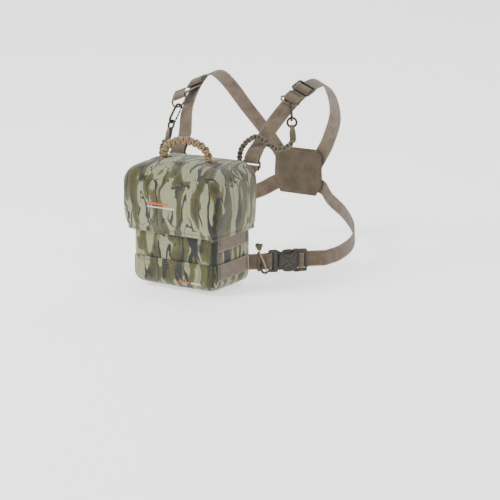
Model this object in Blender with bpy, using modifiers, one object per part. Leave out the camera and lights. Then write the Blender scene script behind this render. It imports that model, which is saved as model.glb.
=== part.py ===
"""Binocular harness pack, worn on the chest: a hooded pack, its webbing harness and two woven tethers.

Metres, +Z up. The origin is the middle of the back pad's rear face, which lies on the wearer's chest.
The pack's front faces -Y, and +X is the wearer's left. The harness has the shape it takes on a torso.
"""

import math

import bmesh
import bpy
from mathutils import Matrix, Vector

# Driving dimensions of the pack and its hood.
BODY_LOW = Vector((-0.073, -0.102, -0.090))
BODY_HIGH = Vector((0.073, -0.008, 0.0769))
BODY_CORNER = 0.008
LID_LOW = Vector((-0.0865, -0.120, -0.006))
LID_HIGH = Vector((0.0865, -0.008, 0.097))
LID_CORNER = 0.024
LID_HEM_DRAW = 0.0050
WALL = 0.005
GAP = 0.0003
HINGE = Vector((0, -0.007, 0.087))
HANDLE_AXIS = Vector((0, -0.069, 0.1049))
HANDLE_HALF_SPAN = 0.040
HANDLE_RISE = 0.0260
HANDLE_RADIUS = 0.0057

# Webbing and wire sizes.
WEB_WIDTH = 0.025
WEB_THICK = 0.0015
TETHER_RADIUS = 0.0042
WIRE = 0.0014
D_WIRE = 0.0015
LOOP_WIRE = 0.0017

# The torso that the harness is shaped on: a point deep between the shoulders, and a waist ellipse.
SHOULDER_HEART = Vector((0.040, 0.140, 0.060))
WAIST_CENTRE = Vector((0, 0.132, 0))
WAIST_HALF_WIDTH = 0.165
WAIST_HALF_DEPTH = 0.130

# The left shoulder strap, from its loop on the pack's top corner over the shoulder to the back patch.
SHOULDER_ROUTE = [
    (0.0680, 0.0054, 0.0960),
    (0.0683, 0.0085, 0.1020),
    (0.0688, 0.0165, 0.1090),
    (0.0700, 0.0300, 0.1180),
    (0.0820, 0.0540, 0.1500),
    (0.0910, 0.0880, 0.1770),
    (0.0970, 0.1260, 0.1940),
    (0.0980, 0.1640, 0.1960),
    (0.0960, 0.2000, 0.1730),
    (0.0840, 0.2350, 0.1300),
    (0.0580, 0.2590, 0.0840),
    (0.0420, 0.2658, 0.0590),
    (0.0300, 0.2666, 0.0390),
]

# The side strap: straight along the buckle, then round the waist to the back patch.
BELT_START = Vector((0.076, 0.004, -0.0625))
BELT_ALONG = Vector((0.743, 0.669, 0)).normalized()
BELT_OUT = Vector((0.669, -0.743, 0)).normalized()
BELT_UNDER = -0.0059
SOCKET_TRAVEL = 0.026

# The tethers' routes, from under the snap hook's tab to the end inside the pack.
PACK_ENTRY = [
    (0.0450, 0.0058, 0.0818),
    (0.0450, 0.0010, 0.0804),
    (0.0450, -0.0040, 0.0812),
    (0.0450, -0.0120, 0.0817),
    (0.0450, -0.0168, 0.0805),
    (0.0450, -0.0192, 0.0765),
    (0.0450, -0.0197, 0.0700),
]
TETHER_ROUTES = {
    1: [
        (0.1150, 0.0440, 0.1190),
        (0.1102, 0.0395, 0.1145),
        (0.1028, 0.0335, 0.1121),
        (0.0945, 0.0280, 0.1140),
        (0.0882, 0.0240, 0.1195),
        (0.0797, 0.0215, 0.1258),
        (0.0718, 0.0200, 0.1288),
        (0.0673, 0.0185, 0.1296),
        (0.0597, 0.0160, 0.1254),
        (0.0522, 0.0135, 0.1185),
        (0.0480, 0.0115, 0.1115),
        (0.0460, 0.0100, 0.1050),
        (0.0455, 0.0092, 0.0965),
        (0.0450, 0.0088, 0.0900),
        (0.0450, 0.0083, 0.0855),
    ],
    -1: [
        (0.1072, 0.0295, 0.1040),
        (0.1072, 0.0220, 0.0968),
        (0.1045, 0.0155, 0.0860),
        (0.0985, 0.0155, 0.0805),
        (0.0890, 0.0175, 0.0780),
        (0.0770, 0.0183, 0.0785),
        (0.0660, 0.0183, 0.0800),
        (0.0565, 0.0178, 0.0815),
        (0.0500, 0.0150, 0.0825),
        (0.0460, 0.0105, 0.0828),
    ],
}
TETHER_TAILS = {1: (0.056, 0.040), -1: (0.050, 0.020, -0.006)}

# How the anchor webbing and the snap hook hang on each side. The slider and the D-ring are placed
# along the strap, and the ring end of the webbing also has a height above it and a shift outboard.
SLIDER_AT = {1: 0.150, -1: 0.140}
D_RING_AT = {1: (0.118, 0.0, 0.0), -1: (0.094, 0.0125, 0.0070)}
D_RING_HANG = {1: Vector((0, -0.99, -0.11)), -1: Vector((-0.10, -0.45, -0.88))}
HOOK_HANG = {1: Vector((0.38, -0.594, -0.713)), -1: Vector((-0.27, -0.38, -0.885))}
HOOK_FLAT = {1: Vector((0.55, -0.83, 0)), -1: Vector((0.42, 0.91, 0))}
TAB_HANG = {1: Vector((0.15, -0.12, -0.98)), -1: Vector((-0.08, -0.33, -0.94))}
HOOK_LENGTH = 0.0310
HOOK_HALF = 0.0055
RING_RADIUS = 0.0070


def clear_scene():
    for obj in list(bpy.data.objects):
        bpy.data.objects.remove(obj, do_unlink=True)
    for collection in list(bpy.data.collections):
        bpy.data.collections.remove(collection)


def new_collection(name, hidden=False):
    collection = bpy.data.collections.new(name)
    bpy.context.scene.collection.children.link(collection)
    collection.hide_render = hidden
    return collection


def new_material(name, color, roughness, metallic=0.0):
    material = bpy.data.materials.new(name)
    material.use_nodes = True
    shader = material.node_tree.nodes["Principled BSDF"]
    shader.inputs["Base Color"].default_value = (*color, 1)
    shader.inputs["Roughness"].default_value = roughness
    shader.inputs["Metallic"].default_value = metallic
    return material


clear_scene()
PACK = new_collection("binocular_harness_pack")
CUTTERS = new_collection("cutters", hidden=True)
CAMO = new_material("camo_fleece", (0.20, 0.21, 0.13), 0.95)
PAD = new_material("pad_mesh", (0.10, 0.09, 0.07), 0.95)
LINING = new_material("lining", (0.09, 0.09, 0.08), 0.9)
WEBBING = new_material("webbing", (0.16, 0.13, 0.10), 0.8)
PLASTIC = new_material("buckle_plastic", (0.09, 0.075, 0.06), 0.5)
METAL = new_material("dark_hardware", (0.10, 0.09, 0.085), 0.35, 0.8)
OLIVE_CORD = new_material("olive_cord", (0.13, 0.11, 0.06), 0.85)
TAN_CORD = new_material("tan_cord", (0.42, 0.30, 0.15), 0.8)
MAGNET = new_material("magnet", (0.45, 0.45, 0.46), 0.3, 1.0)


def adopt(obj, name, material, smooth_below=35):
    """Names an object, moves it into the pack's collection and gives it its material."""
    obj.name = name
    obj.data.name = name
    for collection in list(obj.users_collection):
        collection.objects.unlink(obj)
    PACK.objects.link(obj)
    obj.data.materials.clear()
    obj.data.materials.append(material)
    if obj.type == "MESH":
        obj.data.shade_smooth()
        obj.data.set_sharp_from_angle(angle=math.radians(smooth_below))
    return obj


def set_origin(obj, point):
    """Moves an unturned object's origin to a point, and leaves its shape where it is."""
    obj.data.transform(Matrix.Translation(obj.location - Vector(point)))
    obj.location = point
    return obj


def box_mesh(name, low, high):
    """A cube primitive between two corners, with its scale applied."""
    low = Vector(low)
    high = Vector(high)
    bpy.ops.mesh.primitive_cube_add(size=1, location=(low + high) / 2)
    obj = bpy.context.object
    obj.name = name
    obj.data.transform(Matrix.Diagonal((*(high - low), 1)))
    return obj


def bevel(obj, width, segments=2, angle=35):
    modifier = obj.modifiers.new("bevel", "BEVEL")
    modifier.width = width
    modifier.segments = segments
    modifier.limit_method = "ANGLE"
    modifier.angle_limit = math.radians(angle)
    return obj


def soft_box(name, low, high, radius, material, segments=2):
    return adopt(bevel(box_mesh(name, low, high), radius, segments), name, material)


def with_box(obj, low, high, operation):
    """Cuts a box, given in the object's own frame, out of the object, or joins it on."""
    box = box_mesh(obj.name + "_" + operation.lower(), low, high)
    box.data.transform(Matrix.Translation(box.location))
    box.matrix_world = obj.matrix_world
    for collection in list(box.users_collection):
        collection.objects.unlink(box)
    CUTTERS.objects.link(box)
    box.hide_render = True
    box.display_type = "WIRE"
    modifier = obj.modifiers.new(operation.lower(), "BOOLEAN")
    modifier.operation = operation
    modifier.solver = "EXACT"
    modifier.object = box
    return obj


def cut(obj, low, high):
    return with_box(obj, low, high, "DIFFERENCE")


def join(obj, low, high):
    return with_box(obj, low, high, "UNION")


def open_shell(name, low, high, open_sides, corner, segments, hem_draw=0.0):
    """A rounded box of one wall thickness, open on some sides, with its lower hem drawn in."""
    obj = box_mesh(name, low, high)
    mesh = bmesh.new()
    mesh.from_mesh(obj.data)
    gone = [f for f in mesh.faces if any(f.normal.dot(Vector(side)) > 0.9 for side in open_sides)]
    bmesh.ops.delete(mesh, geom=gone, context="FACES")
    inner = [e for e in mesh.edges if len(e.link_faces) == 2]
    bmesh.ops.bevel(mesh, geom=inner, offset=corner, segments=segments, profile=0.5, affect="EDGES")
    bottom = min(v.co.z for v in mesh.verts)
    for vert in mesh.verts:
        if hem_draw and vert.co.z < bottom + 1e-6:
            vert.co.x -= math.copysign(hem_draw, vert.co.x)
            vert.co.y += hem_draw * (vert.co.y < 0)
    mesh.to_mesh(obj.data)
    mesh.free()
    solid = obj.modifiers.new("wall", "SOLIDIFY")
    solid.thickness = WALL
    solid.offset = -1
    solid.use_even_offset = True
    return adopt(obj, name, CAMO)


def curve_object(name, data, material):
    obj = bpy.data.objects.new(name, data)
    PACK.objects.link(obj)
    obj.data.materials.append(material)
    return obj


def rod(name, points, radius, material, closed=False, origin=None, thin=None, sides=2):
    """A round rod, wire or cord through points. thin lists a radius factor for each point."""
    origin = Vector(origin) if origin is not None else Vector((0, 0, 0))
    data = bpy.data.curves.new(name, "CURVE")
    data.dimensions = "3D"
    data.bevel_depth = radius
    data.bevel_resolution = sides
    data.use_fill_caps = not closed
    spline = data.splines.new("POLY")
    spline.points.add(len(points) - 1)
    for k, point in enumerate(points):
        spline.points[k].co = (*(Vector(point) - origin), 1)
        spline.points[k].radius = thin[k] if thin else 1
    spline.use_cyclic_u = closed
    obj = curve_object(name, data, material)
    obj.location = origin
    return obj


def plate(name, outlines, thick, frame, material):
    """A flat plate in a frame's XY plane. The first outline is its edge and the others are its holes."""
    data = bpy.data.curves.new(name, "CURVE")
    data.dimensions = "2D"
    data.fill_mode = "BOTH"
    data.extrude = thick / 2
    for outline in outlines:
        spline = data.splines.new("POLY")
        spline.points.add(len(outline) - 1)
        for vert, (x, y) in zip(spline.points, outline):
            vert.co = (x, y, 0, 1)
        spline.use_cyclic_u = True
    obj = curve_object(name, data, material)
    obj.matrix_world = frame
    return obj


def rounded(x0, x1, y0, y1, radius, steps=3):
    """The outline of a rectangle with round corners."""
    centres = [(x1 - radius, y1 - radius), (x0 + radius, y1 - radius)]
    centres += [(x0 + radius, y0 + radius), (x1 - radius, y0 + radius)]
    outline = []
    for quarter, (cx, cy) in enumerate(centres):
        for k in range(steps + 1):
            angle = math.pi / 2 * (quarter + k / steps)
            outline.append((cx + radius * math.cos(angle), cy + radius * math.sin(angle)))
    return outline


def frame_at(origin, x_axis, z_axis):
    """A matrix at a point, with +X along x_axis and +Z as near to z_axis as it can be."""
    x_axis = Vector(x_axis).normalized()
    y_axis = Vector(z_axis).cross(x_axis).normalized()
    matrix = Matrix((x_axis, y_axis, x_axis.cross(y_axis))).transposed().to_4x4()
    matrix.translation = Vector(origin)
    return matrix


def smooth_route(points, step):
    """Points about one step apart on a Catmull-Rom curve through the given points."""
    points = [Vector(p) for p in points]
    ends = [2 * points[0] - points[1]] + points + [2 * points[-1] - points[-2]]
    route = []
    for a, b, c, d in zip(ends, ends[1:], ends[2:], ends[3:]):
        count = max(1, round((c - b).length / step))
        for k in range(count):
            t = k / count
            bend = 2 * a - 5 * b + 4 * c - d
            route.append(0.5 * (2 * b + (c - a) * t + bend * t**2 + (3 * b - a - 3 * c + d) * t**3))
    return route + [points[-1]]


class Path:
    """A strap's line, which gives a place at a distance along it and a height above its outer face."""

    def __init__(self, points, heart):
        self.points = points
        self.reach = [0.0]
        for a, b in zip(points, points[1:]):
            self.reach.append(self.reach[-1] + (b - a).length)
        self.across = []
        self.out = []
        for k, point in enumerate(points):
            tangent = (points[min(k + 1, len(points) - 1)] - points[max(k - 1, 0)]).normalized()
            away = point - heart(point)
            away = (away - away.dot(tangent) * tangent).normalized()
            self.out.append(away)
            self.across.append(tangent.cross(away))

    def at(self, distance, height=0.0):
        """The place, the direction across and the outward direction at a distance along the line."""
        k = max(i for i, s in enumerate(self.reach[:-1]) if s <= max(distance, 0.0))
        part = (distance - self.reach[k]) / (self.reach[k + 1] - self.reach[k])
        out = self.out[k].lerp(self.out[k + 1], min(max(part, 0), 1)).normalized()
        across = self.across[k].lerp(self.across[k + 1], min(max(part, 0), 1)).normalized()
        return self.points[k] + (self.points[k + 1] - self.points[k]) * part + out * height, across, out


def ribbon(name, places, material=WEBBING, width=WEB_WIDTH, thick=WEB_THICK):
    """Webbing through places, each a point and the direction across the webbing there."""
    mesh = bmesh.new()
    before = None
    for point, across in places:
        now = (mesh.verts.new(point + across * width / 2), mesh.verts.new(point - across * width / 2))
        if before:
            mesh.faces.new((before[0], before[1], now[1], now[0]))
        before = now
    data = bpy.data.meshes.new(name)
    mesh.to_mesh(data)
    mesh.free()
    obj = bpy.data.objects.new(name, data)
    PACK.objects.link(obj)
    solid = obj.modifiers.new("thickness", "SOLIDIFY")
    solid.thickness = thick
    solid.offset = 0
    solid.use_even_offset = True
    return adopt(obj, name, material, 50)


def turn_round(centre, radius, first, last, steps=6):
    """Points on an arc in a two-dimensional section, from one angle in degrees to another."""
    arc = []
    for k in range(steps + 1):
        angle = math.radians(first + (last - first) * k / steps)
        arc.append((centre[0] + radius * math.cos(angle), centre[1] + radius * math.sin(angle)))
    return arc


def carried_by(child, parent):
    """Parents an object to a moving piece whose own frame is not turned."""
    child.parent = parent
    child.matrix_parent_inverse = Matrix.Translation(-parent.location)
    return child


# The pack's body.
body = open_shell("pack_shell", BODY_LOW, BODY_HIGH, [(0, 0, 1)], BODY_CORNER, 3)
soft_box("back_pad", (-0.066, -0.0077, -0.082), (0.066, 0, 0.075), 0.0030, PAD)
soft_box("front_pocket", (-0.0655, -0.1065, -0.077), (0.0655, -0.1023, -0.047), 0.0018, CAMO)
soft_box("floor_pad", (-0.056, -0.086, -0.0846), (0.056, -0.024, -0.080), 0.0018, LINING)
INSIDE = WALL + 2 * GAP
mouth_edges = []
for inset in (INSIDE, INSIDE + 0.0012):
    x_edge = BODY_HIGH.x - inset
    mouth_edges.append(rounded(-x_edge, x_edge, BODY_LOW.y + inset, BODY_HIGH.y - inset, BODY_CORNER - inset))
mouth_frame = Matrix.Translation((0, 0, 0.069))
plate("mouth_tape", mouth_edges, 0.014, mouth_frame, WEBBING)
soft_box("hinge_tape", (-0.0395, -0.0077, 0.0753), (0.0395, -0.0062, 0.0910), 0.0004, WEBBING, 1)
for side, label in ((1, "left"), (-1, "right")):
    for row, foot in (("upper", -0.027), ("lower", -0.0715)):
        x_near, x_far = sorted((side * 0.0733, side * 0.0750))
        low = (x_near, -0.092, foot)
        soft_box(f"side_band_{row}_{label}", low, (x_far, -0.016, foot + WEB_WIDTH), 0.0004, WEBBING, 1)

# The hood, its hinge line, the handle and the two pairs of magnets that hold it shut.
lid = open_shell("lid_shell", LID_LOW, LID_HIGH, [(0, 0, -1), (0, 1, 0)], LID_CORNER, 5, LID_HEM_DRAW)
set_origin(lid, HINGE)
strip = soft_box("lid_webbing", (-0.057, -0.0815, 0.0973), (0.057, -0.0565, 0.0988), 0.0004, WEBBING, 1)
carried_by(strip, lid)
arch = [(-HANDLE_HALF_SPAN, HANDLE_AXIS.z - HANDLE_RADIUS * s) for s in (0.99, 0.87, 0.5, 0)]
round_end = [0.12, 0.5, 0.87, 1]
for k in range(1, 16):
    angle = math.pi * (1 - k / 16)
    arch.append((HANDLE_HALF_SPAN * math.cos(angle), HANDLE_AXIS.z + HANDLE_RISE * math.sin(angle) ** 0.8))
arch += [(-x, z) for x, z in reversed(arch[:4])]
thin = round_end + [1] * 15 + round_end[::-1]
arch_points = [(x, HANDLE_AXIS.y, z) for x, z in arch]
handle = rod("handle", arch_points, HANDLE_RADIUS, TAN_CORD, origin=HANDLE_AXIS, thin=thin, sides=3)
carried_by(handle, lid)
for side, label in ((1, "left"), (-1, "right")):
    for owner, y_low, y_high in (("body", -0.1043, -0.1023), ("lid", -0.1110, -0.1090)):
        middle = Vector((side * 0.042, (y_low + y_high) / 2, 0.022))
        bpy.ops.mesh.primitive_cylinder_add(vertices=24, radius=0.007, depth=y_high - y_low, location=middle)
        disc = bpy.context.object
        disc.data.transform(Matrix.Rotation(math.pi / 2, 4, "X"))
        adopt(disc, f"{owner}_magnet_{label}", MAGNET)
        if owner == "lid":
            carried_by(disc, lid)


def shoulder_harness(side, label):
    """One shoulder strap with its loop, slider, D-ring, snap hook and tether."""
    heart = Vector((side * SHOULDER_HEART.x, SHOULDER_HEART.y, SHOULDER_HEART.z))
    route = smooth_route([(side * x, y, z) for x, y, z in SHOULDER_ROUTE], 0.009)
    path = Path(route, lambda point: heart)
    sideways = Vector((side, 0, 0))

    # The loop that joins the short tab on the pack to the shoulder strap.
    middle = side * SHOULDER_ROUTE[0][0]
    loop_low = Vector((middle, 0.0080, 0.0845))
    loop_up = Vector((0, 0.02, 0.998)).normalized()
    corners = rounded(-0.01475, 0.01475, 0, 0.0092, 0.0022, 2)
    loop = [loop_low + sideways * x + loop_up * y for x, y in corners]
    rod(f"shoulder_loop_{label}", loop, LOOP_WIRE, METAL, closed=True)
    wrap = LOOP_WIRE + GAP + WEB_THICK / 2 + 0.0001
    section = [(-0.0033, 0.0778), (0.0015, 0.0795)]
    section += turn_round((loop_low.y, loop_low.z), wrap, 180, 0)
    section += [(0.0100, 0.0818), (0.0088, 0.0796)]
    ribbon(f"shoulder_tab_{label}", [(Vector((middle, y, z)), sideways) for y, z in section])

    # The shoulder strap is folded round the loop's upper bar and sewn to itself behind.
    bar = loop_low + loop_up * 0.0092
    fold = [(0.0235, 0.1096), (0.0155, 0.1020), (0.0120, 0.0970)]
    fold += turn_round((bar.y, bar.z), wrap, 0, -180)
    places = [(Vector((middle, y, z)), sideways) for y, z in fold]
    for point, across, reach in list(zip(route, path.across, path.reach))[1:]:
        places.append((point, sideways.lerp(across * side, min(reach / 0.080, 1)).normalized()))
    ribbon(f"shoulder_strap_{label}", places)

    # The sewn-on webbing that goes through the slider and holds the D-ring.
    slider_at = SLIDER_AT[side]
    ring_at, lift, shift = D_RING_AT[side]
    d_wrap = D_WIRE + GAP + WEB_THICK / 2 + 0.0001
    d_height = 0.0019 + d_wrap
    section = [(slider_at + 0.016, 0.0019), (slider_at + 0.0085, 0.0019), (slider_at + 0.0075, 0.0022)]
    section += [(slider_at + 0.0030, 0.0071), (slider_at + 0.0018, 0.0074), (slider_at - 0.0018, 0.0074)]
    section += [(slider_at - 0.0030, 0.0071), (slider_at - 0.0075, 0.0022), (slider_at - 0.0085, 0.0019)]
    first_bend = slider_at - 0.014
    last_bend = ring_at + 0.006
    places = [path.at(distance, height)[:2] for distance, height in section]
    ring_point, ring_across, ring_out = path.at(ring_at, lift)
    ring_point += ring_across * side * shift
    up_strap = (path.at(ring_at + 0.003)[0] - path.at(ring_at - 0.003)[0]).normalized()
    ring_across = up_strap.cross(ring_out).normalized()
    ring_out = ring_across.cross(up_strap)
    for k in range(4):
        part = k / 4
        distance = first_bend + (last_bend - first_bend) * part
        point, across, _ = path.at(distance, 0.0019 + lift * part)
        places.append((point + across * side * shift * part, across))
    fold = [(0.0060, 0.0019)] + turn_round((0, d_height), d_wrap, 270, 90)
    fold += [(0.006, d_height + d_wrap), (0.014, d_height + d_wrap - 0.0008)]
    for distance, height in fold:
        places.append((ring_point + up_strap * distance + ring_out * height, ring_across))
    ribbon(f"anchor_webbing_{label}", places)
    middle, across, out = path.at(slider_at, 0.0045)
    edge = rounded(-0.0165, 0.0165, -0.012, 0.012, 0.003)
    slots = [rounded(-0.0132, 0.0132, y - 0.0034, y + 0.0034, 0.0008, 1) for y in (-0.0054, 0.0054)]
    plate(f"slider_{label}", [edge] + slots, 0.0030, frame_at(middle, across, out), PLASTIC)

    # The D-ring hangs in the fold of its webbing.
    bar_middle = ring_point + ring_out * d_height
    across = ring_across
    down = D_RING_HANG[side]
    down = (down - down.dot(across) * across).normalized()
    half = 0.0145
    bow = [bar_middle + across * half * x for x in (-1, 1)]
    for k in range(1, 12):
        angle = math.pi * k / 12
        bow.append(bar_middle + across * half * math.cos(angle) + down * (0.004 + 0.0135 * math.sin(angle)))
    rod(f"d_ring_{label}", bow, D_WIRE, METAL, closed=True)

    # The snap hook: a long wire loop, closed on one side by a sprung gate.
    seat_angle = math.radians(50 if side > 0 else 90)
    seat = bar_middle + across * half * math.cos(seat_angle)
    seat += down * (0.004 + 0.0135 * math.sin(seat_angle))
    hang = HOOK_HANG[side].normalized()
    flat = HOOK_FLAT[side]
    flat = (flat - flat.dot(hang) * hang).normalized()
    top = seat - hang * (D_WIRE + WIRE + 0.0010)

    def on_hook(x, y):
        return top + flat * x + hang * y

    low_turn = HOOK_LENGTH - HOOK_HALF
    hook = [on_hook(HOOK_HALF, HOOK_HALF)]
    for k in range(1, 8):
        angle = math.pi * k / 8
        hook.append(on_hook(HOOK_HALF * math.cos(angle), HOOK_HALF * (1 - math.sin(angle))))
    hook += [on_hook(-HOOK_HALF, HOOK_HALF), on_hook(-HOOK_HALF, low_turn)]
    for k in range(1, 8):
        angle = math.pi * k / 8
        hook.append(on_hook(-HOOK_HALF * math.cos(angle), low_turn + HOOK_HALF * math.sin(angle)))
    hook += [on_hook(HOOK_HALF, low_turn)]
    rod(f"hook_{label}", hook, WIRE, METAL)
    gate_pin = on_hook(HOOK_HALF, low_turn - 0.0018)
    gate = [on_hook(HOOK_HALF, y) for y in (low_turn - 0.0004, HOOK_HALF + 0.0006)]
    rod(f"hook_gate_{label}", gate, WIRE * 0.85, METAL, origin=gate_pin)

    # The round ring under the hook, and the webbing tab folded through it.
    tab_hang = TAB_HANG[side].normalized()
    ring_top = on_hook(0, HOOK_LENGTH - 2 * WIRE - 2 * GAP)
    around = hang.cross(flat)
    around = (around - around.dot(tab_hang) * tab_hang).normalized()
    ring_middle = ring_top + tab_hang * RING_RADIUS
    ring = []
    for k in range(16):
        angle = 2 * math.pi * k / 16
        ring.append(ring_middle + (tab_hang * math.cos(angle) + around * math.sin(angle)) * RING_RADIUS)
    rod(f"tether_ring_{label}", ring, WIRE * 0.9, METAL, closed=True)
    face = tab_hang.cross(around)
    seat = ring_middle + tab_hang * RING_RADIUS
    fold = [(0.0155, -0.0016, 1), (0.0090, -0.0026, 1)]
    fold += [(y, x, 0.55) for x, y in turn_round((0, 0), 0.0029, 180, 360)]
    fold += [(0.0090, 0.0026, 1), (0.0155, 0.0016, 1)]
    places = [(seat + tab_hang * y + face * x, around * narrow) for y, x, narrow in fold]
    ribbon(f"tether_tab_{label}", places, width=0.0095, thick=0.0012)

    # The woven tether, down to the pack, over its rear wall and inside it.
    points = [seat + tab_hang * 0.0161, seat + tab_hang * 0.0200]
    points += [Vector((side * x, y, z)) for x, y, z in TETHER_ROUTES[side] + PACK_ENTRY]
    points += [Vector((side * 0.0450, -0.0197, z)) for z in TETHER_TAILS[side]]
    rod(f"tether_{label}", smooth_route(points, 0.004), TETHER_RADIUS, OLIVE_CORD)


def waist_harness(side, label):
    """One side strap with its buckle, from the pack's lower corner round the waist."""
    start = Vector((side * BELT_START.x, BELT_START.y, BELT_START.z))
    along = Vector((side * BELT_ALONG.x, BELT_ALONG.y, 0))
    out = Vector((side * BELT_OUT.x, BELT_OUT.y, 0))
    up = Vector((0, 0, 1))
    buckle = frame_at(start, along, out)
    y_is_up = 1 if buckle.to_3x3().col[1].z > 0 else -1

    def web(section):
        """Places for webbing drawn as (distance, height) points beside the straight part."""
        return [(start + along * distance + out * height, up) for distance, height in section]

    def block(name, low, high, radius, material, origin=(0, 0, 0)):
        """A box in the buckle's frame: X along the strap, Y up and Z outwards."""
        y_low, y_high = sorted((y_is_up * low[1], y_is_up * high[1]))
        obj = box_mesh(name, (low[0], y_low, low[2]), (high[0], y_high, high[2]))
        pin = Vector((origin[0], y_is_up * origin[1], origin[2]))
        obj.data.transform(Matrix.Translation(obj.location - pin))
        obj.matrix_world = buckle @ Matrix.Translation(pin)
        bevel(obj, radius, 2)
        return adopt(obj, name, material)

    # The plug's strap comes from the seam behind the pack and is folded round the plug's bar.
    section = [(-0.0118, 0), (0.0090, 0), (0.0140, -0.0012), (0.0200, -0.0033)]
    section += turn_round((0.0228, 0), 0.0034, 270, 450)
    section += [(0.0195, 0.0031), (0.0160, 0.0019), (0.0110, 0.0019)]
    ribbon(f"plug_strap_{label}", web(section))
    keeper_frame = frame_at(start + along * 0.0065, up, along)
    hole = rounded(-0.0130, 0.0130, -0.0013, 0.0013, 0.0004, 1)
    plate(
        f"strap_keeper_{label}",
        [rounded(-0.0155, 0.0155, -0.0033, 0.0033, 0.0015, 2), hole],
        0.0050,
        keeper_frame,
        PLASTIC,
    )
    knob = start + along * 0.0060 + out * 0.0048 + up * 0.0250
    cord = [knob, knob + out * 0.002 - up * 0.0075]
    cord.append(start + along * 0.0100 + out * 0.0072 + up * 0.0080)
    cord.append(start + along * 0.0150 + out * 0.0072 - up * 0.0050)
    cord.append(start + along * 0.0172 + out * 0.0060 - up * 0.0150)
    rod(f"keeper_cord_{label}", smooth_route(cord, 0.004), 0.0013, WEBBING)

    # The plug: a bar for its strap, a body, a middle tongue, and two sprung arms.
    plug = block(f"buckle_plug_{label}", (0.0213, -0.0175, -0.0018), (0.0365, 0.0175, 0.0018), 0.0006, PLASTIC)
    cut(plug, (0.0243, -0.0132, -0.003), (0.0292, 0.0132, 0.003))
    join(plug, (0.0360, -0.0030, -0.0012), (0.0520, 0.0030, 0.0012))
    for name, sign in (("upper", 1), ("lower", -1)):
        low = (0.0370, sign * 0.0085, -0.0020)
        high = (0.0600, sign * 0.0125, 0.0020)
        pin = (0.0375, sign * 0.0105, 0)
        arm = block(f"plug_arm_{name}_{label}", low, high, 0.0005, PLASTIC, pin)
        y_low, y_high = sorted((y_is_up * sign * 0.0015, y_is_up * sign * 0.0068))
        join(arm, (0.0085, y_low, -0.0020), (0.0210, y_high, 0.0020))

    # The socket, with windows for the arms' pads and a ladder for the side strap.
    socket = block(
        f"buckle_socket_{label}", (0.0368, -0.0180, -0.0044), (0.0820, 0.0180, 0.0044), 0.0012, PLASTIC
    )
    cut(socket, (0.0300, -0.0152, -0.0026), (0.0635, 0.0152, 0.0026))
    cut(socket, (0.0448, -0.0200, -0.0026), (0.0595, 0.0200, 0.0026))
    cut(socket, (0.0665, -0.0200, 0.0022), (0.0860, 0.0200, 0.0060))
    cut(socket, (0.0665, -0.0200, -0.0060), (0.0860, 0.0200, -0.0022))
    cut(socket, (0.0672, -0.0132, -0.0040), (0.0712, 0.0132, 0.0040))
    cut(socket, (0.0748, -0.0132, -0.0040), (0.0788, 0.0132, 0.0040))
    section = [(0.0675, -0.0037), (0.0685, -0.0036), (0.0692, -0.0010), (0.0694, 0.0022)]
    section += [(0.0702, 0.0034), (0.0730, 0.0036), (0.0758, 0.0034)]
    section += [(0.0766, 0.0022), (0.0768, -0.0010), (0.0775, -0.0036), (0.0860, -0.0037)]
    ribbon(f"socket_webbing_{label}", web(section), width=0.0248)

    # The side strap runs straight under the socket, then round the waist and up to the back patch.
    points = [start + along * s + out * BELT_UNDER for s in (0.0690, 0.0800, 0.0920, 0.1040, 0.1120)]
    for degrees, rise in ((-8, -0.0600), (10, -0.0530), (30, -0.0430), (50, -0.0270), (66, -0.0110)):
        angle = math.radians(degrees)
        x = side * WAIST_HALF_WIDTH * math.cos(angle)
        points.append(Vector((x, WAIST_CENTRE.y + WAIST_HALF_DEPTH * math.sin(angle), rise)))
    points += [Vector((side * 0.046, 0.2650, 0.0020)), Vector((side * 0.030, 0.2666, 0.0060))]
    straight = points[:4]
    route = straight + smooth_route(points[4:], 0.010)
    path = Path(route, lambda point: Vector((WAIST_CENTRE.x, WAIST_CENTRE.y, point.z)))
    places = [(point, up) for point in route[:5]]
    for point, across in list(zip(route, path.across))[5:]:
        places.append((point, across if across.z > 0 else -across))
    ribbon(f"side_strap_{label}", places)


for side, label in ((1, "left"), (-1, "right")):
    shoulder_harness(side, label)
    waist_harness(side, label)

patch_outline = [(-0.034, -0.012), (0.034, -0.012), (0.046, 0.010), (0.044, 0.058)]
patch_outline += [(0.036, 0.066), (-0.036, 0.066), (-0.044, 0.058), (-0.046, 0.010)]
patch_frame = frame_at((0, 0.2612, 0), (1, 0, 0), (0, -1, 0))
patch_up = patch_frame.to_3x3().col[1].z
outline = [(x, z * patch_up) for x, z in patch_outline]
plate("back_patch", [outline], 0.0040, patch_frame, WEBBING)
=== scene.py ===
import math

import bmesh
import bpy
import numpy as np
from mathutils import Matrix, Vector, noise
from mathutils.bvhtree import BVHTree


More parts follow.
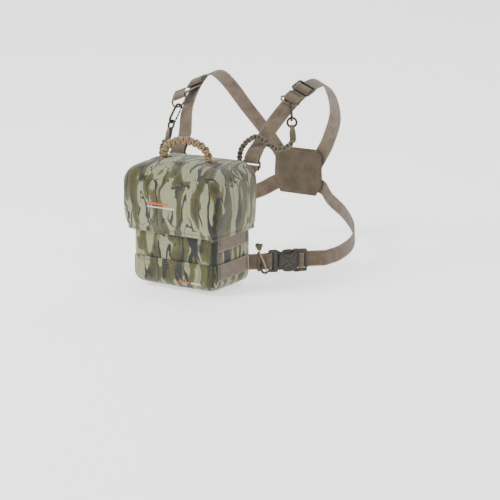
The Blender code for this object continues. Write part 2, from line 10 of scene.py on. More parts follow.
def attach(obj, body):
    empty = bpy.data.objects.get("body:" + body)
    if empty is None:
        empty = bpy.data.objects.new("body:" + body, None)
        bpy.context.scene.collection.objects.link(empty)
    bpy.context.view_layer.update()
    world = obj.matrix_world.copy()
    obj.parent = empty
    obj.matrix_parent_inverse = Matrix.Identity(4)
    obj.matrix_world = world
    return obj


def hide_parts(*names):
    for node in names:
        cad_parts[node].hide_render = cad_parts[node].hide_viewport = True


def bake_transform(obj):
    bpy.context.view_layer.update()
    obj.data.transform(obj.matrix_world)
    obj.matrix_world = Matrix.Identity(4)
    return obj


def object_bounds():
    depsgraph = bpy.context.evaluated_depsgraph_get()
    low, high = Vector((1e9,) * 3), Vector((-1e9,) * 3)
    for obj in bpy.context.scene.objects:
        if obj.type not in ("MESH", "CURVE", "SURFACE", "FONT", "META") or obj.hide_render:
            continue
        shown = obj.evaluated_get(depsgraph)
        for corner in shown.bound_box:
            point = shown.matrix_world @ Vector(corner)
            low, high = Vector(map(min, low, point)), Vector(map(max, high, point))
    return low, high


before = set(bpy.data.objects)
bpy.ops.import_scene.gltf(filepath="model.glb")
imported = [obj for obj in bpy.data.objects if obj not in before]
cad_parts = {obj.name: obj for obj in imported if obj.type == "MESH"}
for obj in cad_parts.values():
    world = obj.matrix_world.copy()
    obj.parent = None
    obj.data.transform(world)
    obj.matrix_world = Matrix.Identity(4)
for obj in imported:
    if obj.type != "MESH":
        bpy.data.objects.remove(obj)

cad_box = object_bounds()
SIDES = ((1, "left"), (-1, "right"))


# --- Camera ------------------------------------------------------------------------------------------
# A long lens from the front and the wearer's left, looking a little down on the hood. Its distance
# keeps the pack and the harness behind it at nearly the same scale.
bpy.ops.object.select_all(action="DESELECT")
bpy.ops.object.camera_add(
    location=(1.5514, -2.3433, 0.6566),
    rotation=(math.radians(75.82), 0, math.radians(32.3)),
)
camera = bpy.context.object
camera.name = "camera"
camera.data.lens = 133.9
camera.data.sensor_width = 36
camera.data.clip_end = 50
bpy.context.scene.camera = camera


# --- Tethers -----------------------------------------------------------------------------------------
# Two dark olive tethers of thin cord, knotted over a core in a flat bar of half knots. Each hangs from
# a tab under its snap hook and goes into the pack over the rear wall, to the binoculars' strap post.
SHOULDER_HEART = Vector((0.040, 0.140, 0.060))
SHOULDER_ROUTE = [
    (0.0680, 0.0054, 0.0960), (0.0683, 0.0085, 0.1020), (0.0688, 0.0165, 0.1090),
    (0.0700, 0.0300, 0.1180), (0.0820, 0.0540, 0.1500), (0.0910, 0.0880, 0.1770),
    (0.0970, 0.1260, 0.1940), (0.0980, 0.1640, 0.1960), (0.0960, 0.2000, 0.1730),
    (0.0840, 0.2350, 0.1300), (0.0580, 0.2590, 0.0840), (0.0420, 0.2658, 0.0590),
    (0.0300, 0.2666, 0.0390),
]
PACK_ENTRY = [
    (0.0450, 0.0058, 0.0818), (0.0450, 0.0010, 0.0804), (0.0450, -0.0040, 0.0812),
    (0.0450, -0.0120, 0.0817), (0.0450, -0.0168, 0.0805), (0.0450, -0.0192, 0.0765),
    (0.0450, -0.0197, 0.0700),
]
TETHER_ROUTES = {
    1: [
        (0.1150, 0.0440, 0.1190), (0.1102, 0.0395, 0.1145), (0.1028, 0.0335, 0.1121),
        (0.0945, 0.0280, 0.1140), (0.0882, 0.0240, 0.1195), (0.0797, 0.0215, 0.1258),
        (0.0718, 0.0200, 0.1288), (0.0673, 0.0185, 0.1296), (0.0597, 0.0160, 0.1254),
        (0.0522, 0.0135, 0.1185), (0.0480, 0.0115, 0.1115), (0.0460, 0.0100, 0.1050),
        (0.0455, 0.0092, 0.0965), (0.0450, 0.0088, 0.0900), (0.0450, 0.0083, 0.0855),
    ],
    -1: [
        (0.1072, 0.0295, 0.1040), (0.1072, 0.0220, 0.0968), (0.1045, 0.0155, 0.0860),
        (0.0985, 0.0155, 0.0805), (0.0890, 0.0175, 0.0780), (0.0770, 0.0183, 0.0785),
        (0.0660, 0.0183, 0.0800), (0.0565, 0.0178, 0.0815), (0.0500, 0.0150, 0.0825),
        (0.0460, 0.0105, 0.0828),
    ],
}
TETHER_TAILS = {1: (0.056, 0.040), -1: (0.050, 0.020, -0.006)}
WEB_WIDTH = 0.025
WEB_THICK = 0.0015
D_WIRE = 0.0015
HOOK_WIRE = 0.0014
HOOK_FULL_WIRE = HOOK_WIRE * 1.35
TETHER_RING_WIRE = HOOK_WIRE * 1.3
HOOK_LENGTH = 0.0310
HOOK_HALF = 0.0055
RING_RADIUS = 0.0070
SLIDER_AT = {1: 0.150, -1: 0.140}
D_RING_AT = {1: (0.118, 0.0, 0.0), -1: (0.094, 0.0125, 0.0070)}
D_RING_HANG = {1: Vector((0, -0.99, -0.11)), -1: Vector((-0.10, -0.45, -0.88))}
HOOK_HANG = {1: Vector((0.38, -0.594, -0.713)), -1: Vector((-0.27, -0.38, -0.885))}
HOOK_FLAT = {1: Vector((0.55, -0.83, 0)), -1: Vector((0.42, 0.91, 0))}
TAB_HANG = {1: Vector((0.15, -0.12, -0.98)), -1: Vector((-0.08, -0.33, -0.94))}


def smooth_route(points, step):
    """Points about one step apart on a smooth curve through the given points."""
    points = [Vector(p) for p in points]
    ends = [2 * points[0] - points[1]] + points + [2 * points[-1] - points[-2]]
    route = []
    for a, b, c, d in zip(ends, ends[1:], ends[2:], ends[3:]):
        count = max(1, round((c - b).length / step))
        for k in range(count):
            t = k / count
            bend = 2 * a - 5 * b + 4 * c - d
            route.append(0.5 * (2 * b + (c - a) * t + bend * t**2 + (3 * b - a - 3 * c + d) * t**3))
    return route + [points[-1]]


class StrapLine:
    """A strap's line. It gives a place at a distance along it and a height above its outer face."""

    def __init__(self, points, heart):
        self.points = points
        self.reach = [0.0]
        for a, b in zip(points, points[1:]):
            self.reach.append(self.reach[-1] + (b - a).length)
        self.across = []
        self.out = []
        for k, point in enumerate(points):
            tangent = (points[min(k + 1, len(points) - 1)] - points[max(k - 1, 0)]).normalized()
            away = point - heart(point)
            away = (away - away.dot(tangent) * tangent).normalized()
            self.out.append(away)
            self.across.append(tangent.cross(away))

    def at(self, distance, height=0.0):
        k = max(i for i, s in enumerate(self.reach[:-1]) if s <= max(distance, 0.0))
        part = (distance - self.reach[k]) / (self.reach[k + 1] - self.reach[k])
        out = self.out[k].lerp(self.out[k + 1], min(max(part, 0), 1)).normalized()
        across = self.across[k].lerp(self.across[k + 1], min(max(part, 0), 1)).normalized()
        return self.points[k] + (self.points[k + 1] - self.points[k]) * part + out * height, across, out


class Hanger:
    """Where one side's D-ring, snap hook, ring and tab hang from the shoulder strap."""

    def __init__(self, side):
        heart = Vector((side * SHOULDER_HEART.x, SHOULDER_HEART.y, SHOULDER_HEART.z))
        self.route = smooth_route([(side * x, y, z) for x, y, z in SHOULDER_ROUTE], 0.009)
        self.strap = StrapLine(self.route, lambda point: heart)
        ring_at, self.lift, self.shift = D_RING_AT[side]
        self.ring_at = ring_at
        self.point, across, out = self.strap.at(ring_at, self.lift)
        self.point += across * side * self.shift
        up_strap = self.strap.at(ring_at + 0.003)[0] - self.strap.at(ring_at - 0.003)[0]
        self.up_strap = up_strap.normalized()
        self.across = self.up_strap.cross(out).normalized()
        self.out = self.across.cross(self.up_strap)
        self.wrap = D_WIRE + 0.0004 + WEB_THICK / 2
        down = D_RING_HANG[side]
        down = (down - down.dot(self.across) * self.across).normalized()
        turn = math.radians(50 if side > 0 else 90)
        seat = self.point + self.out * (0.0019 + self.wrap) + self.across * 0.0145 * math.cos(turn)
        seat += down * (0.004 + 0.0135 * math.sin(turn))
        self.hang = HOOK_HANG[side].normalized()
        flat = HOOK_FLAT[side]
        self.flat = (flat - flat.dot(self.hang) * self.hang).normalized()
        self.hook_top = seat - self.hang * (D_WIRE + HOOK_WIRE + 0.0010)
        self.tab_hang = TAB_HANG[side].normalized()
        around = self.hang.cross(self.flat)
        self.around = (around - around.dot(self.tab_hang) * self.tab_hang).normalized()
        ring_top = self.hook_top + self.hang * (HOOK_LENGTH - 2 * HOOK_WIRE - 0.0006)
        self.ring_middle = ring_top + self.tab_hang * RING_RADIUS
        self.seat = ring_top + self.tab_hang * 2 * RING_RADIUS


hangers = {side: Hanger(side) for side, _ in SIDES}


def node(tree, kind, values=None, **settings):
    """Adds a shader node. values sets or links its sockets by name or number."""
    made = tree.nodes.new(kind)
    for key, value in settings.items():
        setattr(made, key, value)
    for key, value in (values or {}).items():
        if isinstance(value, bpy.types.NodeSocket):
            tree.links.new(value, made.inputs[key])
        else:
            made.inputs[key].default_value = value
    return made


def math_node(tree, operation, first, second=0.0):
    return node(tree, "ShaderNodeMath", {0: first, 1: second}, operation=operation).outputs[0]


def mix_colors(tree, factor, first, second, blend="MIX"):
    mixed = node(tree, "ShaderNodeMix", data_type="RGBA", blend_type=blend)
    for key, value in ((0, factor), (6, first), (7, second)):
        if isinstance(value, bpy.types.NodeSocket):
            tree.links.new(value, mixed.inputs[key])
        else:
            mixed.inputs[key].default_value = value
    return mixed.outputs[2]


def ramp(tree, factor, stops, smooth="LINEAR"):
    """A colour ramp with stops of (place, colour)."""
    made = node(tree, "ShaderNodeValToRGB", {0: factor})
    made.color_ramp.interpolation = smooth
    elements = made.color_ramp.elements
    while len(elements) < len(stops):
        elements.new(0.5)
    for element, (place, color) in zip(elements, stops):
        element.position = place
        element.color = color
    return made.outputs[0]


def grey(value):
    return (value, value, value, 1)


def dye(red, green, blue):
    """A linear colour from screen values of 0 to 255."""
    channels = [((c / 255 + 0.055) / 1.055) ** 2.4 if c > 10 else c / 3295 for c in (red, green, blue)]
    return (*channels, 1)


def new_group(name, inputs, outputs):
    """A shader node group with named inputs and outputs, and its input and output nodes."""
    group = bpy.data.node_groups.new(name, "ShaderNodeTree")
    for label, kind, default in inputs:
        socket = group.interface.new_socket(label, in_out="INPUT", socket_type=kind)
        if default is not None:
            socket.default_value = default
    for label, kind in outputs:
        group.interface.new_socket(label, in_out="OUTPUT", socket_type=kind)
    return group, group.nodes.new("NodeGroupInput").outputs, group.nodes.new("NodeGroupOutput")


def new_finish(name):
    """A material, its node tree and its Principled shader."""
    material = bpy.data.materials.new(name)
    material.use_nodes = True
    return material, material.node_tree, material.node_tree.nodes["Principled BSDF"]


def place_group(tree, group, values):
    made = node(tree, "ShaderNodeGroup")
    made.node_tree = group
    for key, value in values.items():
        if isinstance(value, bpy.types.NodeSocket):
            tree.links.new(value, made.inputs[key])
        else:
            made.inputs[key].default_value = value
    return made


def bump(tree, height, distance, strength=1.0):
    values = {"Height": height, "Distance": distance, "Strength": strength}
    return node(tree, "ShaderNodeBump", values).outputs[0]


# The braided sheath of parachute cord: fine strands that cross on two slants, from the cord's own UV.
sheath, given, result = new_group(
    "cord_sheath",
    [("UV", "NodeSocketVector", None), ("Slant", "NodeSocketFloat", 2400.0),
     ("Rise", "NodeSocketFloat", 1500.0)],
    [("Height", "NodeSocketFloat"), ("Wear", "NodeSocketFloat")],
)
place = node(sheath, "ShaderNodeSeparateXYZ", {0: given["UV"]}).outputs
around = math_node(sheath, "MULTIPLY", place[0], given["Slant"])
rise = math_node(sheath, "MULTIPLY", place[1], given["Rise"])
lines = []
for operation in ("ADD", "SUBTRACT"):
    wave = math_node(sheath, "SINE", math_node(sheath, operation, around, rise))
    lines.append(math_node(sheath, "ABSOLUTE", wave))
sheath.links.new(math_node(sheath, "MAXIMUM", *lines), result.inputs["Height"])
spots = node(sheath, "ShaderNodeTexNoise", {"Vector": given["UV"], "Scale": 190.0, "Detail": 3.0})
sheath.links.new(spots.outputs[0], result.inputs["Wear"])


def cord_finish(name, shadow, body_color, light):
    """Nylon cord: braided, with painted shade in its grooves, a painted highlight on raised strands, and
    uneven dye.
    """
    material, tree, shader = new_finish(name)
    uv = node(tree, "ShaderNodeUVMap", uv_map="UVMap").outputs[0]
    braid = place_group(tree, sheath, {"UV": uv})
    # The braid's height paints shade into the grooves and a highlight onto the raised strands.
    tone = math_node(tree, "MULTIPLY", braid.outputs["Height"], 0.62)
    tone = math_node(tree, "ADD", tone, math_node(tree, "MULTIPLY", braid.outputs["Wear"], 0.45))
    color = ramp(tree, tone, [(0.12, shadow), (0.55, body_color), (0.92, light)])
    tree.links.new(color, shader.inputs["Base Color"])
    tree.links.new(bump(tree, braid.outputs["Height"], 0.0004, 0.8), shader.inputs["Normal"])
    shader.inputs["Roughness"].default_value = 0.62
    shader.inputs["Sheen Weight"].default_value = 0.25
    return material


olive_cord = cord_finish("olive_cord", dye(22, 19, 12), dye(62, 54, 38), dye(98, 88, 64))
# The core's finish is the tether cord made darker: painted shade for the core seen between the knots.
olive_core_painted_shade = cord_finish("olive_core_painted_shade", dye(18, 16, 11), dye(44, 38, 26), dye(60, 53, 38))


def tube_on(mesh, uv_layer, points, radius, sides=8, closed=False):
    """Adds a round tube through points to a mesh, with its length and girth as its UV."""
    rings = []
    tangent = (points[1] - points[0]).normalized()
    normal = tangent.orthogonal().normalized()
    reach = 0.0
    last = len(points) - 1
    for k, point in enumerate(points):
        before = points[k - 1] if k or closed else point
        after = points[(k + 1) % len(points)] if k < last or closed else point
        tangent = (after - before).normalized()
        normal = (normal - normal.dot(tangent) * tangent).normalized()
        side = tangent.cross(normal)
        reach += (point - points[k - 1]).length if k else 0.0
        width = radius[k] if isinstance(radius, list) else radius
        ring = []
        for j in range(sides):
            angle = 2 * math.pi * j / sides
            ring.append(mesh.verts.new(point + (normal * math.cos(angle) + side * math.sin(angle)) * width))
        rings.append((ring, reach, width))
    pairs = list(zip(rings, rings[1:]))
    if closed:
        first = rings[0][0]
        start = min(range(sides), key=lambda j: (first[j].co - rings[-1][0][0].co).length)
        turned = first[start:] + first[:start]
        pairs.append((rings[-1], (turned, reach + (points[0] - points[-1]).length, rings[0][2])))
    for (low, low_reach, width), (high, high_reach, _) in pairs:
        for j in range(sides):
            face = mesh.faces.new((low[j], low[(j + 1) % sides], high[(j + 1) % sides], high[j]))
            face.smooth = True
            edge = [j, j + 1, j + 1, j]
            for loop, turn, along in zip(face.loops, edge, (low_reach, low_reach, high_reach, high_reach)):
                loop[uv_layer].uv = (2 * math.pi * width * turn / sides, along)
    if not closed:
        for (ring, _, _), flip in ((rings[0], True), (rings[-1], False)):
            face = mesh.faces.new(ring[::-1] if flip else ring)
            face.smooth = True


def finish_mesh(name, mesh, materials, body, sharp=None):
    """Turns a bmesh into a piece that rides on a body and takes its finish from a slot."""
    data = bpy.data.meshes.new(name)
    mesh.to_mesh(data)
    mesh.free()
    piece = bpy.data.objects.new(name, data)
    bpy.context.scene.collection.objects.link(piece)
    for material in materials:
        data.materials.append(material)
    if sharp is not None:
        data.shade_smooth()
        data.set_sharp_from_angle(angle=math.radians(sharp))
    if body:
        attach(piece, body)
    return piece


def even_steps(points, step):
    """Points a fixed step apart along a line, and each one's distance from the start."""
    reach = np.concatenate([[0], np.cumsum([(b - a).length for a, b in zip(points, points[1:])])])
    count = max(2, round(reach[-1] / step))
    wanted = np.linspace(0, reach[-1], count + 1)
    places = np.array([tuple(p) for p in points])
    return [Vector([np.interp(s, reach, places[:, k]) for k in range(3)]) for s in wanted], wanted


def half_knots(name, line, facing, wide, deep, strand, pitch, core, materials, body):
    """A flat bar of half knots along a line: one cord crosses the front, the other crosses the back,
    and both turn round a straight core at each edge. facing(point) is the bar's front direction."""
    points, reach = even_steps(line, pitch / 10)
    fronts = []
    rights = []
    for k, point in enumerate(points):
        tangent = (points[min(k + 1, len(points) - 1)] - points[max(k - 1, 0)]).normalized()
        front = facing(point)
        front = (front - front.dot(tangent) * tangent).normalized()
        fronts.append(front)
        rights.append(tangent.cross(front))
    mesh = bmesh.new()
    uv_layer = mesh.loops.layers.uv.new("UVMap")
    for sign in (1, -1):
        cord = []
        for point, front, right, s in zip(points, fronts, rights, reach):
            phase = math.pi * s / pitch
            sway = math.cos(phase)
            sway = math.copysign(abs(sway) ** 0.62, sway)
            near = abs(math.sin(phase)) ** 0.55
            bite = deep * (near - 0.25 * (1 - near))
            cord.append(point + right * sign * wide * sway + front * sign * bite)
        tube_on(mesh, uv_layer, cord, strand)
    woven_faces = len(mesh.faces)
    for offset in (-0.42, 0.42):
        straight = [p + r * wide * offset for p, r in zip(points[::4], rights[::4])]
        tube_on(mesh, uv_layer, straight, core, 6)
    # The core tubes take the last finish, a darker copy of the cord: painted shade between the knots.
    mesh.faces.ensure_lookup_table()
    for face in mesh.faces[woven_faces:]:
        face.material_index = len(materials) - 1
    return finish_mesh(name, mesh, materials, body)


to_viewer = Vector((0.52, -0.82, 0.24)).normalized()
tethers = {}
for side, label in SIDES:
    hanger = hangers[side]
    points = [hanger.seat + hanger.tab_hang * 0.0161, hanger.seat + hanger.tab_hang * 0.0200]
    points += [Vector((side * x, y, z)) for x, y, z in TETHER_ROUTES[side] + PACK_ENTRY]
    points += [Vector((side * 0.0450, -0.0197, z)) for z in TETHER_TAILS[side]]
    line = smooth_route(points, 0.003)
    tether = half_knots(
        f"tether_{label}", line, lambda point: to_viewer, 0.0027, 0.0019, 0.0019, 0.0062, 0.0015,
        [olive_cord, olive_core_painted_shade], "pack",
    )
    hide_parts(f"tether_{label}")
    # Three tight turns of the same cord whip the bar to the tab above it.
    mesh = bmesh.new()
    uv_layer = mesh.loops.layers.uv.new("UVMap")
    side_way = hanger.around
    face_way = hanger.tab_hang.cross(side_way)
    turns = []
    for k in range(61):
        angle = 2 * math.pi * k / 20
        spot = hanger.seat + hanger.tab_hang * (0.0135 + 0.0026 * k / 20)
        turns.append(spot + side_way * 0.0040 * math.cos(angle) + face_way * 0.0034 * math.sin(angle))
    tube_on(mesh, uv_layer, turns, 0.0014)
    whipping = finish_mesh(f"tether_whipping_{label}", mesh, [olive_cord], "pack")
    tethers[side] = tether


# --- Pack body ---------------------------------------------------------------------------------------
# A box of foam laminated between brushed fleece outside and smooth cloth inside, sewn from a front, two
# sides, a back and a bottom. It stands open at the top, with a taped mouth.
BODY_LOW = Vector((-0.0740, -0.1045, -0.0925))
BODY_HIGH = Vector((0.0740, -0.0080, 0.0765))
BODY_CORNER = 0.007
BODY_FOOT = 0.019
WALL = 0.0045


def add_box(name, low, high):
    """A cube primitive between two corners, left as the only selected object."""
    low = Vector(low)
    high = Vector(high)
    bpy.ops.object.select_all(action="DESELECT")
    bpy.ops.mesh.primitive_cube_add(size=1, location=(low + high) / 2)
    box = bpy.context.object
    box.name = name
    box.scale = high - low
    bpy.ops.object.transform_apply(location=True, rotation=True, scale=True)
    return box


def open_and_divide(box, gone, cuts):
    """Deletes the faces that face given ways, and divides the rest evenly."""
    bpy.ops.object.mode_set(mode="EDIT")
    bpy.ops.mesh.select_mode(type="FACE")
    bpy.ops.mesh.select_all(action="DESELECT")
    edit = bmesh.from_edit_mesh(box.data)
    for face in edit.faces:
        face.select = any(face.normal.dot(Vector(way)) > 0.9 for way in gone)
    bmesh.update_edit_mesh(box.data)
    if gone:
        bpy.ops.mesh.delete(type="FACE")
    bpy.ops.mesh.select_all(action="SELECT")
    bpy.ops.mesh.subdivide(number_cuts=cuts)
    bpy.ops.object.mode_set(mode="OBJECT")


def round_to(point, low, high, corner):
    """Moves a point of a box to the box with rounded corners."""
    core = Vector([min(max(point[k], low[k] + corner), high[k] - corner) for k in range(3)])
    away = point - core
    return core + away.normalized() * corner if away.length > 1e-9 else point


def round_plan(x, y, half, front, back, corner):
    """Moves a place in plan to a rectangle whose front corners are round."""
    core_x = min(max(x, corner - half), half - corner)
    core_y = max(y, front + corner)
    away = Vector((x - core_x, y - core_y))
    if away.length > 1e-9:
        away *= max(abs(away.x), abs(away.y)) / away.length
    return core_x + away.x, min(core_y + away.y, back)


def apply_modifiers(piece):
    bpy.ops.object.select_all(action="DESELECT")
    piece.select_set(True)
    bpy.context.view_layer.objects.active = piece
    for modifier in list(piece.modifiers):
        bpy.ops.object.modifier_apply(modifier=modifier.name)


# Camouflage like old bark: pale sage with olive patches, shaded edges and forked charcoal streaks that
# run down the cloth. It is drawn in each piece's own cloth place, so it bends over the hood's edges.
camo, given, result = new_group(
    "bark_camouflage",
    [("Place", "NodeSocketVector", None), ("Pale", "NodeSocketColor", dye(140, 141, 112)),
     ("Olive", "NodeSocketColor", dye(84, 82, 52)), ("Dark", "NodeSocketColor", dye(34, 36, 36))],
    [("Color", "NodeSocketColor"), ("Fleece", "NodeSocketFloat")],
)
CAMO_SWAY = (0.0055, 0.0055, 0.004)
sway = {"Vector": given["Place"], "Scale": 24.0, "Detail": 1.5}
bend = node(camo, "ShaderNodeTexNoise", sway, normalize=False)
shift = node(camo, "ShaderNodeVectorMath", {0: bend.outputs[1], 1: CAMO_SWAY}, operation="MULTIPLY")
swayed = node(camo, "ShaderNodeVectorMath", {0: given["Place"], 1: shift.outputs[0]}, operation="ADD")


def streaks(name, offset, scale, detail, stretch):
    """Noise drawn out down the cloth."""
    place = node(camo, "ShaderNodeMapping", {0: swayed.outputs[0], 1: offset, 3: (1, 1, stretch)})
    made = node(camo, "ShaderNodeTexNoise", {"Vector": place.outputs[0], "Scale": scale, "Detail": detail})
    made.label = name
    return made.outputs[0]


patches = streaks("olive patches", (0.31, 0.12, 0.05), 60.0, 1.0, 0.22)
olive_mask = ramp(camo, patches, [(0.485, grey(0)), (0.502, grey(1))])
shaded = ramp(camo, patches, [(0.52, grey(0)), (0.66, grey(1))])
cloud = streaks("dye clouds", (0.7, 0.2, 0.4), 90.0, 4.0, 0.4)
pale = mix_colors(camo, math_node(camo, "MULTIPLY", cloud, 0.8), given["Pale"], dye(128, 131, 98))
olive = mix_colors(camo, shaded, given["Olive"], dye(66, 64, 40))
ground = mix_colors(camo, olive_mask, pale, olive)
masks = []
for name, offset, scale, stretch, low, high, wide in (
    ("forked streaks", (0.05, 0.44, 0.23), 50.0, 0.15, 0.38, 0.64, 0.046),
    ("thin streaks", (0.61, 0.17, 0.83), 68.0, 0.13, 0.40, 0.64, 0.036),
):
    branch = streaks(name, offset, scale, 1.2, stretch)
    ridge = math_node(camo, "ABSOLUTE", math_node(camo, "SUBTRACT", branch, 0.5))
    width = streaks(name + " width", (offset[1], offset[2], offset[0]), scale * 0.9, 1.0, 0.34)
    width = node(camo, "ShaderNodeMapRange", {0: width, 1: low, 2: high, 3: -0.004, 4: wide}).outputs[0]
    inside = math_node(camo, "SUBTRACT", width, ridge)
    masks.append(ramp(camo, math_node(camo, "MULTIPLY", inside, 90.0), [(0.0, grey(0)), (0.30, grey(1))]))
dark_mask = math_node(camo, "MAXIMUM", *masks)
dark = mix_colors(camo, math_node(camo, "MULTIPLY", cloud, 0.7), given["Dark"], dye(56, 60, 56))
printed = mix_colors(camo, dark_mask, ground, dark)
nap = node(camo, "ShaderNodeTexNoise", {"Vector": given["Place"], "Scale": 900.0, "Detail": 3.0}).outputs[0]
tufts = node(camo, "ShaderNodeTexNoise", {"Vector": given["Place"], "Scale": 260.0, "Detail": 2.0})
nap_share = math_node(camo, "MULTIPLY", nap, 0.55)
tuft_share = math_node(camo, "MULTIPLY", tufts.outputs[0], 0.45)
fleece = math_node(camo, "ADD", nap_share, tuft_share)
# The fleece's mottle follows the nap's bump height: low nap is painted darker and tufts lighter, partly the
# cloth's own speckle and partly painted shade.
speck = ramp(camo, fleece, [(0.30, grey(0.66)), (0.55, grey(1.0)), (0.75, grey(1.25))])
camo.links.new(mix_colors(camo, 0.85, printed, speck, "MULTIPLY"), result.inputs["Color"])
camo.links.new(fleece, result.inputs["Fleece"])

camo_fleece, tree, shader = new_finish("camo_fleece")
cloth_place = node(tree, "ShaderNodeAttribute", attribute_name="cloth_place").outputs[1]
print_node = place_group(tree, camo, {"Place": cloth_place})
tree.links.new(print_node.outputs["Color"], shader.inputs["Base Color"])
tree.links.new(bump(tree, print_node.outputs["Fleece"], 0.0011, 0.75), shader.inputs["Normal"])
shader.inputs["Roughness"].default_value = 0.95
shader.inputs["Sheen Weight"].default_value = 0.35
shader.inputs["Sheen Roughness"].default_value = 0.5
shader.inputs["Specular IOR Level"].default_value = 0.15

# Close plain cloth, for the linings.
plain_weave, given, result = new_group(
    "plain_weave",
    [("Place", "NodeSocketVector", None), ("Threads", "NodeSocketFloat", 1500.0)],
    [("Height", "NodeSocketFloat"), ("Cloud", "NodeSocketFloat")],
)
parts = node(plain_weave, "ShaderNodeSeparateXYZ", {0: given["Place"]}).outputs
phases = [math_node(plain_weave, "MULTIPLY", p, given["Threads"]) for p in parts]
waves = [math_node(plain_weave, "SINE", phase) for phase in phases]
woven = math_node(plain_weave, "ADD", math_node(plain_weave, "ADD", waves[0], waves[1]), waves[2])
plain_weave.links.new(math_node(plain_weave, "MULTIPLY", woven, 0.33), result.inputs["Height"])
clouds = node(plain_weave, "ShaderNodeTexNoise", {"Vector": given["Place"], "Scale": 55.0, "Detail": 4.0})
plain_weave.links.new(clouds.outputs[0], result.inputs["Cloud"])

lining, tree, shader = new_finish("lining")
here = node(tree, "ShaderNodeTexCoord").outputs["Object"]
cloth = place_group(tree, plain_weave, {"Place": here})
color = ramp(tree, cloth.outputs["Cloud"], [(0.3, dye(44, 43, 36)), (0.7, dye(62, 60, 50))])
tree.links.new(color, shader.inputs["Base Color"])
tree.links.new(bump(tree, cloth.outputs["Height"], 0.0003, 0.6), shader.inputs["Normal"])
shader.inputs["Roughness"].default_value = 0.8


def lay_cloth(piece, places):
    """Stores each vertex's place in the printed cloth."""
    layer = piece.data.attributes.new("cloth_place", "FLOAT_VECTOR", "POINT")
    layer.data.foreach_set("vector", [c for place in places for c in place])


def cloth_wave(point, size, depth):
    """The slight unevenness of padded cloth."""
    return depth * noise.noise(Vector(point) / size + Vector((3.1, 7.7, 1.3)))


def body_crown(point):
    """How far the padded front swells at a place, at most 2 mm."""
    rise = max(0.0, min(1.0, (point.z - BODY_LOW.z) / 0.05))
    across = max(0.0, 1 - (point.x / BODY_HIGH.x) ** 2)
    return across * rise * (2 - rise) * 0.0018


def on_body(point):
    """A place on the padded body from a place on its plain box. The foot is drawn in on a round edge."""
    height = point.z - BODY_LOW.z
    inset = 0.0
    z = point.z
    if height < BODY_FOOT:
        turn = (1 - height / BODY_FOOT) * math.pi / 2
        inset = BODY_FOOT * (1 - math.cos(turn))
        z = BODY_LOW.z + BODY_FOOT * (1 - math.sin(turn))
    half = BODY_HIGH.x - inset
    front = BODY_LOW.y + inset
    x = point.x * half / BODY_HIGH.x
    y = BODY_HIGH.y - (BODY_HIGH.y - point.y) * (BODY_HIGH.y - front) / (BODY_HIGH.y - BODY_LOW.y)
    x, y = round_plan(x, y, half, front, BODY_HIGH.y, BODY_CORNER + inset * 0.5)
    spot = Vector((x, y, z))
    if y < front + BODY_CORNER:
        spot.y -= body_crown(spot)
    return spot


body = add_box("pack_body", BODY_LOW, BODY_HIGH)
open_and_divide(body, [(0, 0, 1)], 34)
for vert in body.data.vertices:
    spot = on_body(vert.co.copy())
    seam = abs(spot.z + 0.046)
    front_side = spot.y < BODY_LOW.y + BODY_CORNER * 0.6
    pull = 0.0010 * math.exp(-(seam / 0.003) ** 2) if front_side else 0.0
    spot.y += pull + (cloth_wave(spot, 0.022, 0.0007) if spot.y < BODY_HIGH.y - 0.01 else 0.0)
    spot.x += cloth_wave(spot + Vector((0.5, 0, 0)), 0.024, 0.0006) if abs(spot.x) > 0.06 else 0.0
    vert.co = spot
solid = body.modifiers.new("wall", "SOLIDIFY")
solid.thickness = WALL
solid.offset = -1
solid.use_even_offset = True
solid.material_offset = 1
smooth = body.modifiers.new("smooth", "SUBSURF")
smooth.levels = 1
smooth.render_levels = 1
body.data.materials.append(camo_fleece)
body.data.materials.append(lining)
apply_modifiers(body)
body.data.shade_smooth()
lay_cloth(body, [v.co for v in body.data.vertices])
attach(body, "pack")
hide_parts("pack_shell")


def wall_strip(name, spots, tube, material, body_name, sides=8):
    """A round cord or seam that is sewn along a line of spots."""
    mesh = bmesh.new()
    uv_layer = mesh.loops.layers.uv.new("UVMap")
    tube_on(mesh, uv_layer, spots, tube, sides)
    return finish_mesh(name, mesh, [material], body_name)


# The piped seams down the front corners, and round the bottom's edge.
PIPE = 0.0011
for side, label in SIDES:
    spots = []
    for k in range(60):
        z = -0.0475 - k * 0.00062
        corner = on_body(Vector((side * BODY_HIGH.x, BODY_LOW.y + 0.0012, z)))
        spots.append(corner + Vector((side * 0.0004, -0.0004, 0)))
    piping = wall_strip(f"corner_piping_{label}", spots, PIPE, camo_fleece, "pack")
    lay_cloth(piping, [v.co for v in piping.data.vertices])

# The padded front pocket: one soft panel, sewn down round its edge, with a turned top hem.
POCKET_HALF = 0.0722
POCKET_LOW = -0.0860
POCKET_TOP = -0.0460
bpy.ops.object.select_all(action="DESELECT")
bpy.ops.mesh.primitive_grid_add(x_subdivisions=70, y_subdivisions=26, size=1)
pocket = bpy.context.object
pocket.name = "front_pocket"
for vert in pocket.data.vertices:
    u = vert.co.x * 2
    v = vert.co.y + 0.5
    x = u * POCKET_HALF
    z = POCKET_LOW + (POCKET_TOP - POCKET_LOW) * v
    flat = on_body(Vector((x, BODY_LOW.y, z)))
    edge = min((1 - abs(u)) * 9.0, v * 4.0, 1.0)
    top = min((1 - v) * 14.0, 1.0)
    fill = math.sin(math.pi / 2 * max(edge, 0)) * (0.35 + 0.65 * top)
    rise = 0.0013 * math.sqrt(max(edge, 0)) + 0.0016 * fill
    rise += cloth_wave((x, 0.4, z), 0.016, 0.0006) * edge
    groove = math.exp(-(((1 - v) * (POCKET_TOP - POCKET_LOW) - 0.0045) / 0.0011) ** 2)
    away = Vector((flat.x - min(max(flat.x, -0.058), 0.058), -0.02, min(0, z + 0.075))).normalized()
    vert.co = flat + away * (rise - 0.0009 * groove)
